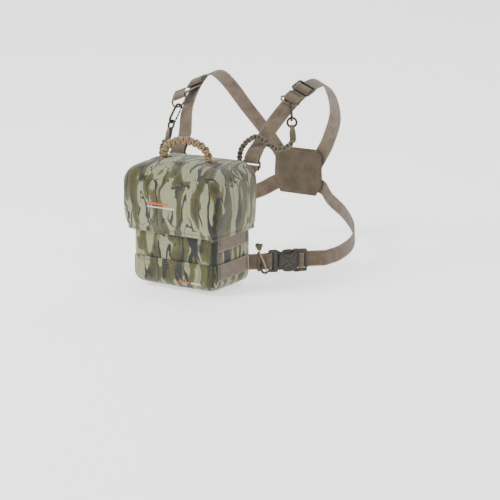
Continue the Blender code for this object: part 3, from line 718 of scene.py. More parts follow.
bpy.ops.object.mode_set(mode="EDIT")
bpy.ops.mesh.select_all(action="SELECT")
bpy.ops.mesh.normals_make_consistent(inside=False)
bpy.ops.object.mode_set(mode="OBJECT")
if sum(p.normal.y for p in pocket.data.polygons) > 0:
    pocket.data.flip_normals()
solid = pocket.modifiers.new("cloth", "SOLIDIFY")
solid.thickness = 0.0016
solid.offset = -1
soft = pocket.modifiers.new("soft", "SUBSURF")
soft.levels = 1
soft.render_levels = 1
pocket.data.materials.append(camo_fleece)
apply_modifiers(pocket)
pocket.data.shade_smooth()
lay_cloth(pocket, [v.co + Vector((0.004, 0, 0.007)) for v in pocket.data.vertices])
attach(pocket, "pack")
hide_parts("front_pocket")


# --- Thread ------------------------------------------------------------------------------------------
# Bonded nylon thread: rows of lock stitches, dense bar tacks where webbing takes a load, and satin bars
# in orange and pale thread on the hood and the pocket. Each stitch is a short curved length of thread.
thread_cord = cord_finish("olive_thread", dye(58, 50, 36), dye(92, 80, 60), dye(120, 106, 82))
dark_thread = cord_finish("dark_thread", dye(26, 24, 20), dye(48, 42, 34), dye(70, 62, 52))
orange_thread = cord_finish("orange_thread", dye(120, 36, 12), dye(190, 62, 22), dye(214, 88, 44))
pale_thread = cord_finish("pale_thread", dye(140, 140, 130), dye(198, 198, 188), dye(226, 226, 216))


def stitch_on(mesh, uv_layer, start, end, out, radius):
    """One stitch: a short fat thread that dives into the cloth at both ends."""
    along = end - start
    points = []
    for part, rise, _ in ((0.0, -0.6, 0), (0.12, 0.25, 0), (0.5, 0.55, 0), (0.88, 0.25, 0), (1.0, -0.6, 0)):
        points.append(start + along * part + out * rise * radius)
    tube_on(mesh, uv_layer, points, [radius * f for f in (0.6, 1, 1, 1, 0.6)], 6)


def stitch_rows(name, rows, material, body_name, long=0.0028, gap=0.0008, radius=0.00032):
    """Rows of stitches. Each row lists points with the outward direction at each."""
    mesh = bmesh.new()
    uv_layer = mesh.loops.layers.uv.new("UVMap")
    for row in rows:
        points = [Vector(p) for p, _ in row]
        outs = np.array([tuple(o) for _, o in row])
        reach = np.concatenate([[0], np.cumsum([(b - a).length for a, b in zip(points, points[1:])])])
        places = np.array([tuple(p) for p in points])
        count = max(1, int(reach[-1] / (long + gap)))
        for k in range(count):
            low = (k + 0.5) * reach[-1] / count - long / 2
            ends = []
            for s in (low, low + long):
                ends.append(Vector([np.interp(s, reach, places[:, j]) for j in range(3)]))
            out = Vector([np.interp(low + long / 2, reach, outs[:, j]) for j in range(3)]).normalized()
            stitch_on(mesh, uv_layer, ends[0], ends[1], out, radius)
    return finish_mesh(name, mesh, [material], body_name)


def tree_of(piece):
    """A search tree of a piece's surface, to lay thread and trim on it."""
    corners = [v.co for v in piece.data.vertices]
    return BVHTree.FromPolygons(corners, [p.vertices for p in piece.data.polygons])


def pressed_on(search, point, way, start=0.03):
    """The spot on a surface that a ray from outside meets, and the surface's outward direction."""
    way = Vector(way).normalized()
    spot, normal, _, _ = search.ray_cast(Vector(point) + way * start, -way)
    if spot is None:
        return Vector(point), way
    return spot, normal if normal.dot(way) > 0 else -normal


def satin_bar(name, search, middle, right, up, way, half_long, half_high, thread, body_name):
    """A plain bar of satin stitch: threads side by side, laid on the surface."""
    mesh = bmesh.new()
    uv_layer = mesh.loops.layers.uv.new("UVMap")
    count = int(half_long * 2 / 0.00055)
    for k in range(count + 1):
        u = -half_long + 2 * half_long * k / count
        ends = []
        for v in (-half_high, half_high):
            spot, out = pressed_on(search, middle + right * (u + v * 0.12) + up * v, way)
            ends.append(spot)
        stitch_on(mesh, uv_layer, ends[0], ends[1], out, 0.00034)
    return finish_mesh(name, mesh, [thread], body_name)


pocket_tree = tree_of(pocket)
rows = []
for drop in (0.0032, 0.0062):
    row = []
    for k in range(61):
        x = -0.066 + 0.132 * k / 60
        row.append(pressed_on(pocket_tree, (x, -0.106, POCKET_TOP - drop), (0, -1, 0)))
    rows.append(row)
stitch_rows("pocket_hem_stitches", rows, thread_cord, "pack")
POCKET_TABS = (("a", 0.0205, 0.0100, orange_thread), ("b", 0.0420, 0.0085, pale_thread))
for name, middle_x, half, thread in POCKET_TABS:
    middle = Vector((middle_x, -0.106, -0.0775))
    satin_bar(f"pocket_tab_{name}", pocket_tree, middle, Vector((1, 0, 0)), Vector((0, 0, 1)), (0, -1, 0),
              half, 0.0012, thread, "pack")


# --- Hood --------------------------------------------------------------------------------------------
# A deep padded hood of the same laminate, open below and behind, which drops over the body. It swells
# between its seams and its hem is turned and stitched. It turns on a tape along the top of the back.
HOOD_LOW = Vector((-0.0872, -0.1200, -0.0060))
HOOD_HIGH = Vector((0.0872, -0.0080, 0.0965))
HOOD_CORNER = 0.026


def puff(piece, held, pressure, cap, frames=20, stiffness=12.0):
    """Swells padded cloth by simulation. held(point) is how firmly a place is sewn down, and no point
    moves further than the cap."""
    rest = np.array([tuple(v.co) for v in piece.data.vertices])
    group = piece.vertex_groups.new(name="sewn")
    for vert in piece.data.vertices:
        grip = held(vert.co)
        if grip > 0:
            group.add([vert.index], grip, "REPLACE")
    cloth = piece.modifiers.new("swell", "CLOTH")
    settings = cloth.settings
    settings.quality = 6
    settings.mass = 0.3
    settings.tension_stiffness = stiffness
    settings.compression_stiffness = stiffness
    settings.shear_stiffness = 5.0
    settings.bending_stiffness = 0.8
    settings.air_damping = 1.0
    settings.use_pressure = True
    settings.uniform_pressure_force = pressure
    settings.vertex_group_mass = "sewn"
    settings.effector_weights.gravity = 0
    cloth.point_cache.frame_start = 1
    cloth.point_cache.frame_end = frames
    scene = bpy.context.scene
    for frame_number in range(1, frames + 1):
        scene.frame_set(frame_number)
    shown = piece.evaluated_get(bpy.context.evaluated_depsgraph_get())
    moved = np.array([tuple(v.co) for v in shown.data.vertices])
    step = moved - rest
    size = np.linalg.norm(step, axis=1)
    step *= (np.minimum(size, cap) / np.maximum(size, 1e-9))[:, None]
    piece.modifiers.remove(cloth)
    piece.data.vertices.foreach_set("co", (rest + step).astype(np.float32).ravel())
    piece.data.update()
    scene.frame_set(1)


def hood_cloth(point):
    """The printed cloth runs up the front, over the edge and back along the top."""
    side_edge = HOOD_HIGH.x - 0.010
    front_edge = HOOD_LOW.y + 0.010
    up = max(0.0, min(1.0, (point.z - (HOOD_HIGH.z - HOOD_CORNER)) / (HOOD_CORNER * 0.85)))
    near_side = max(0.0, min(1.0, (abs(point.x) - 0.045) / (side_edge - 0.045)))
    near_side = near_side * near_side * (3 - 2 * near_side)
    from_front = max(0.0, point.y - front_edge)
    from_side = max(0.0, side_edge - abs(point.x))
    over_front = Vector((point.x, front_edge, point.z + from_front))
    over_side = Vector((math.copysign(side_edge, point.x), point.y, point.z + from_side))
    over = over_front.lerp(over_side, near_side)
    on_side = max(0.0, min(1.0, (abs(point.x) - side_edge + 0.012) / 0.012))
    return point.lerp(over, up * (1 - on_side * (1 - up))) + Vector((0.21, 0.0, 0.03))


hood = add_box("hood", HOOD_LOW, HOOD_HIGH)
open_and_divide(hood, [(0, 0, -1), (0, 1, 0)], 30)
for vert in hood.data.vertices:
    spot = vert.co.copy()
    below_top = HOOD_HIGH.z - spot.z
    inset = 0.0
    if below_top < HOOD_CORNER:
        turn = (1 - below_top / HOOD_CORNER) * math.pi / 2
        inset = HOOD_CORNER * (1 - math.cos(turn))
        spot.z = HOOD_HIGH.z - HOOD_CORNER * (1 - math.sin(turn))
    rise = max(0.0, min(1.0, (spot.z - HOOD_LOW.z) / 0.045))
    flare = -0.0052 * (1 - rise) ** 1.6
    to_back = max(0.0, 1 - (HOOD_HIGH.y - spot.y) / 0.11)
    half = HOOD_HIGH.x + flare * (1 - 0.6 * to_back) - inset
    front = HOOD_LOW.y - flare + inset
    x = spot.x * half / HOOD_HIGH.x
    y = HOOD_HIGH.y - (HOOD_HIGH.y - spot.y) * (HOOD_HIGH.y - front) / (HOOD_HIGH.y - HOOD_LOW.y)
    corner = 0.009 + 0.003 * rise + inset * 0.55
    spot.x, spot.y = round_plan(x, y, half, front, HOOD_HIGH.y, corner)
    crown = max(0.0, 1 - (spot.x / 0.07) ** 2) * max(0.0, 1 - ((spot.y + 0.058) / 0.055) ** 2)
    spot.z += 0.0022 * crown if spot.z > 0.085 else 0.0
    vert.co = spot


def hood_held(point):
    hem = max(0.0, 1 - (point.z - HOOD_LOW.z) / 0.010)
    back = max(0.0, 1 - (HOOD_HIGH.y - point.y) / 0.010)
    return min(1.0, max(hem, back))


puff(hood, hood_held, 3.0, 0.0030)
for vert in hood.data.vertices:
    hem = vert.co.z - HOOD_LOW.z
    draw = 0.0012 * max(0.0, 1 - hem / 0.02) + 0.0011 * math.exp(-((hem - 0.0065) / 0.0022) ** 2)
    if vert.co.y < HOOD_LOW.y + HOOD_CORNER * 0.7:
        vert.co.y += draw
    if abs(vert.co.x) > HOOD_HIGH.x - HOOD_CORNER * 0.7:
        vert.co.x -= math.copysign(draw, vert.co.x)
    vert.co += Vector((0, 1, 0)) * cloth_wave(vert.co, 0.030, 0.0009) if vert.co.y < -0.09 else Vector()
    vert.co += Vector((0, 0, 1)) * cloth_wave(vert.co, 0.034, 0.0012) if vert.co.z > 0.08 else Vector()
    vert.co.x += cloth_wave(vert.co, 0.028, 0.0009) if abs(vert.co.x) > 0.07 else 0.0
solid = hood.modifiers.new("wall", "SOLIDIFY")
solid.thickness = 0.0044
solid.offset = -1
solid.use_even_offset = True
solid.material_offset = 1
smooth = hood.modifiers.new("smooth", "SUBSURF")
smooth.levels = 1
smooth.render_levels = 1
hood.data.materials.append(camo_fleece)
hood.data.materials.append(lining)
apply_modifiers(hood)
hood.data.shade_smooth()
lay_cloth(hood, [hood_cloth(v.co.copy()) for v in hood.data.vertices])
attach(hood, "lid")
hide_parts("lid_shell")
hood_tree = tree_of(hood)

# The hem's row of stitches, and two plain embroidered bars on the front.
row = []
for k in range(121):
    turn = k / 120
    if turn < 0.3:
        point, way = Vector((-0.08, -0.010 - 0.085 * turn / 0.3, 0)), (-1, 0, 0)
    elif turn > 0.7:
        point, way = Vector((0.08, -0.010 - 0.085 * (1 - turn) / 0.3, 0)), (1, 0, 0)
    else:
        angle = (turn - 0.5) / 0.2
        point, way = Vector((angle * 0.074, -0.11, 0)), (angle * 0.6, -1, 0)
    row.append(pressed_on(hood_tree, point, way, 0.05))
stitch_rows("hood_hem_stitches", [row], thread_cord, "lid")
for name, x, z, half, high, thread in (
    ("a", -0.0160, 0.0420, 0.0190, 0.0016, orange_thread),
    ("b", -0.0110, 0.0365, 0.0240, 0.0009, pale_thread),
):
    satin_bar(f"hood_bar_{name}", hood_tree, Vector((x, -0.11, z)), Vector((1, 0, 0)), Vector((0, 0, 1)),
              (0, -1, 0), half, high, thread, "lid")


# --- Carry handle ------------------------------------------------------------------------------------
# A tan grab handle of thin cord, knotted in half knots over its core in the same way as the tethers. Its
# ends go through the hood beside two short webbing tabs. It lies over to either side when it is let go.
HANDLE_AXIS = Vector((0, -0.069, 0.1049))
HANDLE_HALF_SPAN = 0.040
HANDLE_RISE = 0.0260
tan_cord = cord_finish("tan_cord", dye(36, 26, 12), dye(104, 82, 48), dye(152, 126, 86))
# The core's finish is the handle cord made darker: painted shade for the core seen between the knots.
core_cord_painted_shade = cord_finish("tan_core_painted_shade", dye(38, 28, 16), dye(72, 54, 30), dye(96, 74, 44))
arch = [(-HANDLE_HALF_SPAN, HANDLE_AXIS.z - 0.0075), (-HANDLE_HALF_SPAN, HANDLE_AXIS.z - 0.002)]
for k in range(1, 32):
    angle = math.pi * (1 - k / 32)
    rise = HANDLE_RISE * math.sin(angle) ** 0.8
    arch.append((HANDLE_HALF_SPAN * math.cos(angle), HANDLE_AXIS.z + rise))
arch += [(-x, z) for x, z in reversed(arch[:2])]
line = smooth_route([(x, HANDLE_AXIS.y, z) for x, z in arch], 0.0015)
handle = half_knots(
    "handle_weave", line, lambda point: Vector((0, -1, 0)), 0.0046, 0.0031, 0.00205, 0.0049, 0.0024,
    [tan_cord, core_cord_painted_shade], "handle",
)
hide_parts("handle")


# --- Webbing -----------------------------------------------------------------------------------------
# Taupe nylon webbing, 25 mm wide: a fine herringbone of raised ribs between two plain selvedges. Every
# strap, band and tab is cut from it, heat-sealed at its ends and sewn down with rows and bar tacks.
weave, given, result = new_group(
    "webbing_weave",
    [("UV", "NodeSocketVector", None), ("Width", "NodeSocketFloat", WEB_WIDTH)],
    [("Height", "NodeSocketFloat"), ("Rib", "NodeSocketFloat"), ("Edge", "NodeSocketFloat"),
     ("Cloud", "NodeSocketFloat")],
)
place = node(weave, "ShaderNodeSeparateXYZ", {0: given["UV"]}).outputs
across_rib = math_node(weave, "MULTIPLY", place[0], 2 * math.pi / 0.0021)
slant = math_node(weave, "ABSOLUTE", math_node(weave, "SINE", math_node(weave, "MULTIPLY", place[0], 750.0)))
pick = math_node(weave, "ADD", math_node(weave, "MULTIPLY", place[1], 2 * math.pi / 0.0011), slant)
rib_wave = math_node(weave, "SINE", across_rib)
pick_wave = math_node(weave, "SINE", pick)
rib_share = math_node(weave, "MULTIPLY", rib_wave, 0.35)
pick_share = math_node(weave, "MULTIPLY", pick_wave, 0.65)
mixed = math_node(weave, "ADD", rib_share, pick_share)
weave.links.new(math_node(weave, "MULTIPLY", mixed, 0.5), result.inputs["Height"])
weave.links.new(rib_wave, result.inputs["Rib"])
half = math_node(weave, "MULTIPLY", given["Width"], 0.5)
from_edge = math_node(weave, "SUBTRACT", half, math_node(weave, "ABSOLUTE", place[0]))
edge = node(weave, "ShaderNodeMapRange", {0: from_edge, 1: 0.0012, 2: 0.0030, 3: 1.0, 4: 0.0}).outputs[0]
weave.links.new(edge, result.inputs["Edge"])
clouds = node(weave, "ShaderNodeTexNoise", {"Vector": given["UV"], "Scale": 70.0, "Detail": 4.0})
weave.links.new(clouds.outputs[0], result.inputs["Cloud"])

webbing, tree, shader = new_finish("webbing")
uv = node(tree, "ShaderNodeUVMap", uv_map="UVMap").outputs[0]
cloth = place_group(tree, weave, {"UV": uv})
base = ramp(tree, cloth.outputs["Cloud"], [(0.30, dye(90, 77, 62)), (0.70, dye(116, 101, 83))])
# Painted shade and highlight: the weave's height darkens its low threads and lightens its raised ribs in the
# colour.
raised = node(tree, "ShaderNodeMapRange", {0: cloth.outputs["Height"], 1: -0.45, 2: 0.45, 3: 0.68, 4: 1.16})
ribbed = mix_colors(tree, 1.0, base, raised.outputs[0], "MULTIPLY")
edged = mix_colors(tree, math_node(tree, "MULTIPLY", cloth.outputs["Edge"], 0.5), ribbed, dye(128, 113, 94))
tree.links.new(edged, shader.inputs["Base Color"])
tree.links.new(bump(tree, cloth.outputs["Height"], 0.0005, 0.7), shader.inputs["Normal"])
shader.inputs["Roughness"].default_value = 0.78
shader.inputs["Sheen Weight"].default_value = 0.2
shader.inputs["Specular IOR Level"].default_value = 0.3


def finer(places, step=0.0025):
    """Webbing places, each a point and the direction across, at close even steps."""
    points = smooth_route([p for p, _ in places], step)
    route = []
    for (first, across), (second, next_across) in zip(places, places[1:]):
        count = max(1, round((second - first).length / step))
        for k in range(count):
            route.append(across.lerp(next_across, k / count).normalized())
    route.append(places[-1][1])
    return list(zip(points, route))


class Strap:
    """A length of webbing along its places, which can lay stitches on either face."""

    def __init__(self, places, width=WEB_WIDTH, thick=WEB_THICK):
        self.width = width
        self.thick = thick
        self.points = [p for p, _ in places]
        self.reach = [0.0]
        for a, b in zip(self.points, self.points[1:]):
            self.reach.append(self.reach[-1] + (b - a).length)
        self.frames = []
        for k, (_, across) in enumerate(places):
            tangent = self.points[min(k + 1, len(places) - 1)] - self.points[max(k - 1, 0)]
            tangent.normalize()
            narrow = across.length
            across = (across - across.dot(tangent) * tangent).normalized()
            self.frames.append((tangent, across, tangent.cross(across), narrow))

    def place(self, distance, across=0.0, face=1):
        """The surface place at a distance along and across the webbing, and the way out of it."""
        distance = min(max(distance, 0.0), self.reach[-1])
        k = max(i for i, s in enumerate(self.reach[:-1]) if s <= distance)
        part = (distance - self.reach[k]) / max(self.reach[k + 1] - self.reach[k], 1e-9)
        spot = self.points[k].lerp(self.points[k + 1], part)
        side = self.frames[k][1].lerp(self.frames[k + 1][1], part)
        out = self.frames[k][2].lerp(self.frames[k + 1][2], part).normalized() * face
        return spot + side * across + out * self.thick / 2, out

    def row(self, start, end, across_start, across_end, face=1, steps=24):
        """A straight row of stitch places between two spots on the webbing."""
        spots = []
        for k in range(steps + 1):
            t = k / steps
            across = across_start + (across_end - across_start) * t
            spots.append(self.place(start + (end - start) * t, across, face))
        return spots

    def piece(self, name, body_name, nodes, edge=0.00055, slot="webbing", material=None):
        """The webbing as a flat tube with rolled selvedges, softened and crowned a little."""
        mesh = bmesh.new()
        uv_layer = mesh.loops.layers.uv.new("UVMap")
        half = self.width / 2
        deep = self.thick / 2
        profile = []
        for u in (-0.999, -0.975, -0.90, -0.6, -0.2, 0.2, 0.6, 0.90, 0.975, 0.999):
            swell = 1.0 if abs(u) < 0.95 else (0.86 if abs(u) < 0.99 else 0.40)
            swell *= 1.05 if 0.85 < abs(u) < 0.95 else 0.97
            profile.append((u * half, deep * swell))
        loop = profile + [(x, -y) for x, y in reversed(profile)]
        rings = []
        for point, (_, across, out, narrow) in zip(self.points, self.frames):
            rings.append([mesh.verts.new(point + across * x * narrow + out * y) for x, y in loop])
        count = len(loop)
        for k in range(len(rings) - 1):
            for j in range(count):
                i = (j + 1) % count
                face = mesh.faces.new((rings[k][j], rings[k + 1][j], rings[k + 1][i], rings[k][i]))
                face.smooth = True
                low, high = self.reach[k], self.reach[k + 1]
                spots = ((loop[j][0], low), (loop[j][0], high), (loop[i][0], high), (loop[i][0], low))
                for corner, spot in zip(face.loops, spots):
                    corner[uv_layer].uv = spot
        mesh.faces.new(rings[0])
        mesh.faces.new(rings[-1][::-1])
        bmesh.ops.recalc_face_normals(mesh, faces=mesh.faces[:])
        piece = finish_mesh(name, mesh, [material or webbing], body_name, 50)
        if nodes:
            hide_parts(*nodes)
        return piece


def turn_round(centre, radius, first, last, steps=8):
    """Points on an arc in a two-dimensional section, from one angle in degrees to another."""
    arc = []
    for k in range(steps + 1):
        angle = math.radians(first + (last - first) * k / steps)
        arc.append((centre[0] + radius * math.cos(angle), centre[1] + radius * math.sin(angle)))
    return arc


def stitch_box(strap, start, end, half, face=1):
    """The four sides and two diagonals of a box stitch."""
    rows = [strap.row(start, end, -half, -half, face), strap.row(start, end, half, half, face)]
    rows += [strap.row(start, start, -half, half, face), strap.row(end, end, -half, half, face)]
    rows += [strap.row(start, end, -half, half, face), strap.row(start, end, half, -half, face)]
    return rows


def bar_tack(strap, distance, half, face=1, thick=3):
    """A dense bar across the webbing, as close rows."""
    return [strap.row(distance + k * 0.0007, distance + k * 0.0007, -half, half, face) for k in range(thick)]


# The tabs that hold the handle's ends on the hood: short webbing patches with two bar tacks each.
rows = []
for side, label in SIDES:
    places = []
    for k in range(13):
        x = side * (0.0350 + 0.0220 * k / 12)
        spot, out = pressed_on(hood_tree, (x, HANDLE_AXIS.y, 0.09), (0, 0, 1))
        places.append((Vector((x, HANDLE_AXIS.y, spot.z + 0.0006)), Vector((0, 1, 0))))
    tab = Strap(places)
    tab.piece(f"handle_tab_{label}", "lid", ["lid_webbing"] if side > 0 else [])
    face = 1 if tab.frames[0][2].z > 0 else -1
    rows += bar_tack(tab, 0.0185, 0.010, face, 4) + bar_tack(tab, 0.0130, 0.010, face, 4)
stitch_rows("handle_tab_stitches", rows, dark_thread, "lid", 0.0022, 0.0003, 0.00036)

# The webbing ladder sewn flat on each side of the body, for extra pouches.
for side, label in SIDES:
    rows = []
    for row_name, foot in (("upper", -0.027), ("lower", -0.0715)):
        places = []
        for k in range(40):
            y = -0.0975 + 0.0825 * k / 39
            middle = Vector((side * BODY_HIGH.x, y, foot + WEB_WIDTH / 2))
            spot = on_body(middle)
            bow = 0.0004 + 0.0009 * math.sin(math.pi * k / 39)
            web_x = spot.x + side * (WEB_THICK / 2 + bow)
            places.append((Vector((web_x, spot.y, middle.z)), Vector((0, 0, 1))))
        band = Strap(places)
        band.piece(f"side_band_{row_name}_{label}", "pack", [f"side_band_{row_name}_{label}"])
        face = 1 if band.frames[5][2].x * side > 0 else -1
        for at in (0.0035, band.reach[-1] - 0.0045):
            rows += bar_tack(band, at, 0.0110, face)
    stitch_rows(f"side_band_stitches_{label}", rows, dark_thread, "pack", 0.0022, 0.0004)


# --- Shoulder harness --------------------------------------------------------------------------------
# Each shoulder strap starts at a wire loop on a short tab, is folded back on itself and sewn, and goes
# over the shoulder to the back patch. A second length on top of it goes through the slider and holds
# the D-ring in its fold, with one dark row of stitches across.
LOOP_WIRE = 0.0017
for side, label in SIDES:
    hanger = hangers[side]
    sideways = Vector((side, 0, 0))
    middle = side * SHOULDER_ROUTE[0][0]
    low_y, low_z = 0.0080, 0.0845
    loop_up = Vector((0, 0.02, 0.998)).normalized()
    wrap = LOOP_WIRE + 0.0004 + WEB_THICK / 2
    section = [(-0.0033, 0.0778), (0.0015, 0.0795)] + turn_round((low_y, low_z), wrap, 180, 0)
    section += [(0.0100, 0.0818), (0.0088, 0.0796)]
    tab = Strap(finer([(Vector((middle, y, z)), sideways) for y, z in section], 0.0015))
    tab.piece(f"shoulder_tab_{label}", "pack", [f"shoulder_tab_{label}"])

    bar = Vector((middle, low_y, low_z)) + loop_up * 0.0092
    fold = [(0.0235, 0.1096), (0.0155, 0.1020), (0.0120, 0.0970)] + turn_round((bar.y, bar.z), wrap, 0, -180)
    places = [(Vector((middle, y, z)), sideways) for y, z in fold]
    for point, across, reach in list(zip(hanger.route, hanger.strap.across, hanger.strap.reach))[1:]:
        places.append((point, sideways.lerp(across * side, min(reach / 0.080, 1)).normalized()))
    strap = Strap(finer(places))
    strap.piece(f"shoulder_strap_{label}", "pack", [f"shoulder_strap_{label}"])
    face = 1 if strap.place(0.06)[1].dot(Vector((0, -1, 0.2))) > 0 else -1
    rows = stitch_box(strap, 0.0345, 0.0470, 0.0100, face)
    stitch_rows(f"shoulder_stitches_{label}", rows, thread_cord, "pack", 0.0024, 0.0007)

    slider_at = SLIDER_AT[side]
    section = [(slider_at + 0.016, 0.0019), (slider_at + 0.0085, 0.0019), (slider_at + 0.0075, 0.0022)]
    section += [(slider_at + 0.0030, 0.0071), (slider_at + 0.0018, 0.0074), (slider_at - 0.0018, 0.0074)]
    section += [(slider_at - 0.0030, 0.0071), (slider_at - 0.0075, 0.0022), (slider_at - 0.0085, 0.0019)]
    places = [hanger.strap.at(distance, height)[:2] for distance, height in section]
    first_bend = slider_at - 0.014
    last_bend = hanger.ring_at + 0.006
    for k in range(4):
        part = k / 4
        distance = first_bend + (last_bend - first_bend) * part
        point, across, _ = hanger.strap.at(distance, 0.0019 + hanger.lift * part)
        places.append((point + across * side * hanger.shift * part, across))
    height = 0.0019 + hanger.wrap
    fold = [(0.0060, 0.0019)] + turn_round((0, height), hanger.wrap, 270, 90)
    fold += [(0.006, height + hanger.wrap), (0.014, height + hanger.wrap - 0.0008)]
    for distance, lift in fold:
        places.append((hanger.point + hanger.up_strap * distance + hanger.out * lift, hanger.across))
    anchor = Strap(finer(places, 0.0018))
    anchor.piece(f"anchor_webbing_{label}", "pack", [f"anchor_webbing_{label}"])
    end = anchor.reach[-1]
    face = 1 if anchor.place(end - 0.006)[1].dot(hanger.out) > 0 else -1
    rows = bar_tack(anchor, end - 0.0028, 0.0110, face, 3)
    stitch_rows(f"anchor_stitches_{label}", rows, dark_thread, "pack", 0.0026, 0.0003, 0.0004)

    # The narrow tab folded through the ring under the hook.
    seat = hanger.seat
    face_way = hanger.tab_hang.cross(hanger.around)
    fold = [(0.0155, -0.0016, 1), (0.0090, -0.0026, 1)]
    fold += [(y, x, 0.62) for x, y in turn_round((0, 0), 0.0029, 180, 360)]
    fold += [(0.0090, 0.0026, 1), (0.0155, 0.0016, 1)]
    places = []
    for y, x, narrow in fold:
        places.append((seat + hanger.tab_hang * y + face_way * x, hanger.around * narrow))
    narrow_tab = Strap(places, 0.0100, 0.0012)
    narrow_tab.piece(f"tether_tab_{label}", "pack", [f"tether_tab_{label}"])


# --- Metal fittings ----------------------------------------------------------------------------------
# Bent and welded steel wire with a dark bronze-black finish, brushed and a little rubbed on top: loops,
# D-rings, rings, and the snap hooks with their sprung gates. The tubes under the webbing are bare wire.
brushed, given, result = new_group(
    "rubbed_metal",
    [("Place", "NodeSocketVector", None), ("Size", "NodeSocketFloat", 420.0)],
    [("Wear", "NodeSocketFloat"), ("Height", "NodeSocketFloat")],
)
patch_values = {"Vector": given["Place"], "Scale": given["Size"], "Detail": 5.0}
patch = node(brushed, "ShaderNodeTexNoise", patch_values)
grain = node(brushed, "ShaderNodeTexNoise", {"Vector": given["Place"], "Scale": 2600.0, "Detail": 2.0})
brushed.links.new(patch.outputs[0], result.inputs["Wear"])
brushed.links.new(grain.outputs[0], result.inputs["Height"])


def metal_finish(name, deep, light, rough):
    material, tree, shader = new_finish(name)
    here = node(tree, "ShaderNodeTexCoord").outputs["Object"]
    rub = place_group(tree, brushed, {"Place": here})
    rubbed = ramp(tree, rub.outputs["Wear"], [(0.35, deep), (0.68, light)])
    tree.links.new(rubbed, shader.inputs["Base Color"])
    worn = node(tree, "ShaderNodeMapRange", {0: rub.outputs["Wear"], 3: rough + 0.12, 4: rough - 0.08})
    tree.links.new(worn.outputs[0], shader.inputs["Roughness"])
    tree.links.new(bump(tree, rub.outputs["Height"], 0.00008, 0.5), shader.inputs["Normal"])
    shader.inputs["Metallic"].default_value = 0.85
    return material


bronze_metal = metal_finish("bronze_wire", dye(70, 61, 54), dye(122, 110, 100), 0.40)
gun_metal = metal_finish("gunmetal_wire", dye(44, 38, 33), dye(88, 79, 71), 0.38)
magnet_metal = metal_finish("magnet_steel", dye(150, 150, 152), dye(196, 196, 198), 0.30)


def wear(node_names, material):
    """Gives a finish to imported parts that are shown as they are."""
    for name in node_names:
        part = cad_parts[name]
        part = part if isinstance(part, bpy.types.Object) else bpy.data.objects[name]
        for k in range(max(1, len(part.data.materials))):
            if part.data.materials:
                part.material_slots[k].material = material
            else:
                part.data.materials.append(material)


def swept_wire(name, points, radius, closed, material, body_name, cad_node):
    mesh = bmesh.new()
    uv_layer = mesh.loops.layers.uv.new("UVMap")
    tube_on(mesh, uv_layer, points, radius, 14, closed)
    piece = finish_mesh(name, mesh, [material], body_name)
    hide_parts(cad_node)
    return piece


def rounded(x0, x1, y0, y1, radius, steps=6):
    """The outline of a rectangle with round corners."""
    centres = [(x1 - radius, y1 - radius), (x0 + radius, y1 - radius)]
    centres += [(x0 + radius, y0 + radius), (x1 - radius, y0 + radius)]
    outline = []
    for quarter, (cx, cy) in enumerate(centres):
        for k in range(steps + 1):
            angle = math.pi / 2 * (quarter + k / steps)
            outline.append((cx + radius * math.cos(angle), cy + radius * math.sin(angle)))
    return outline


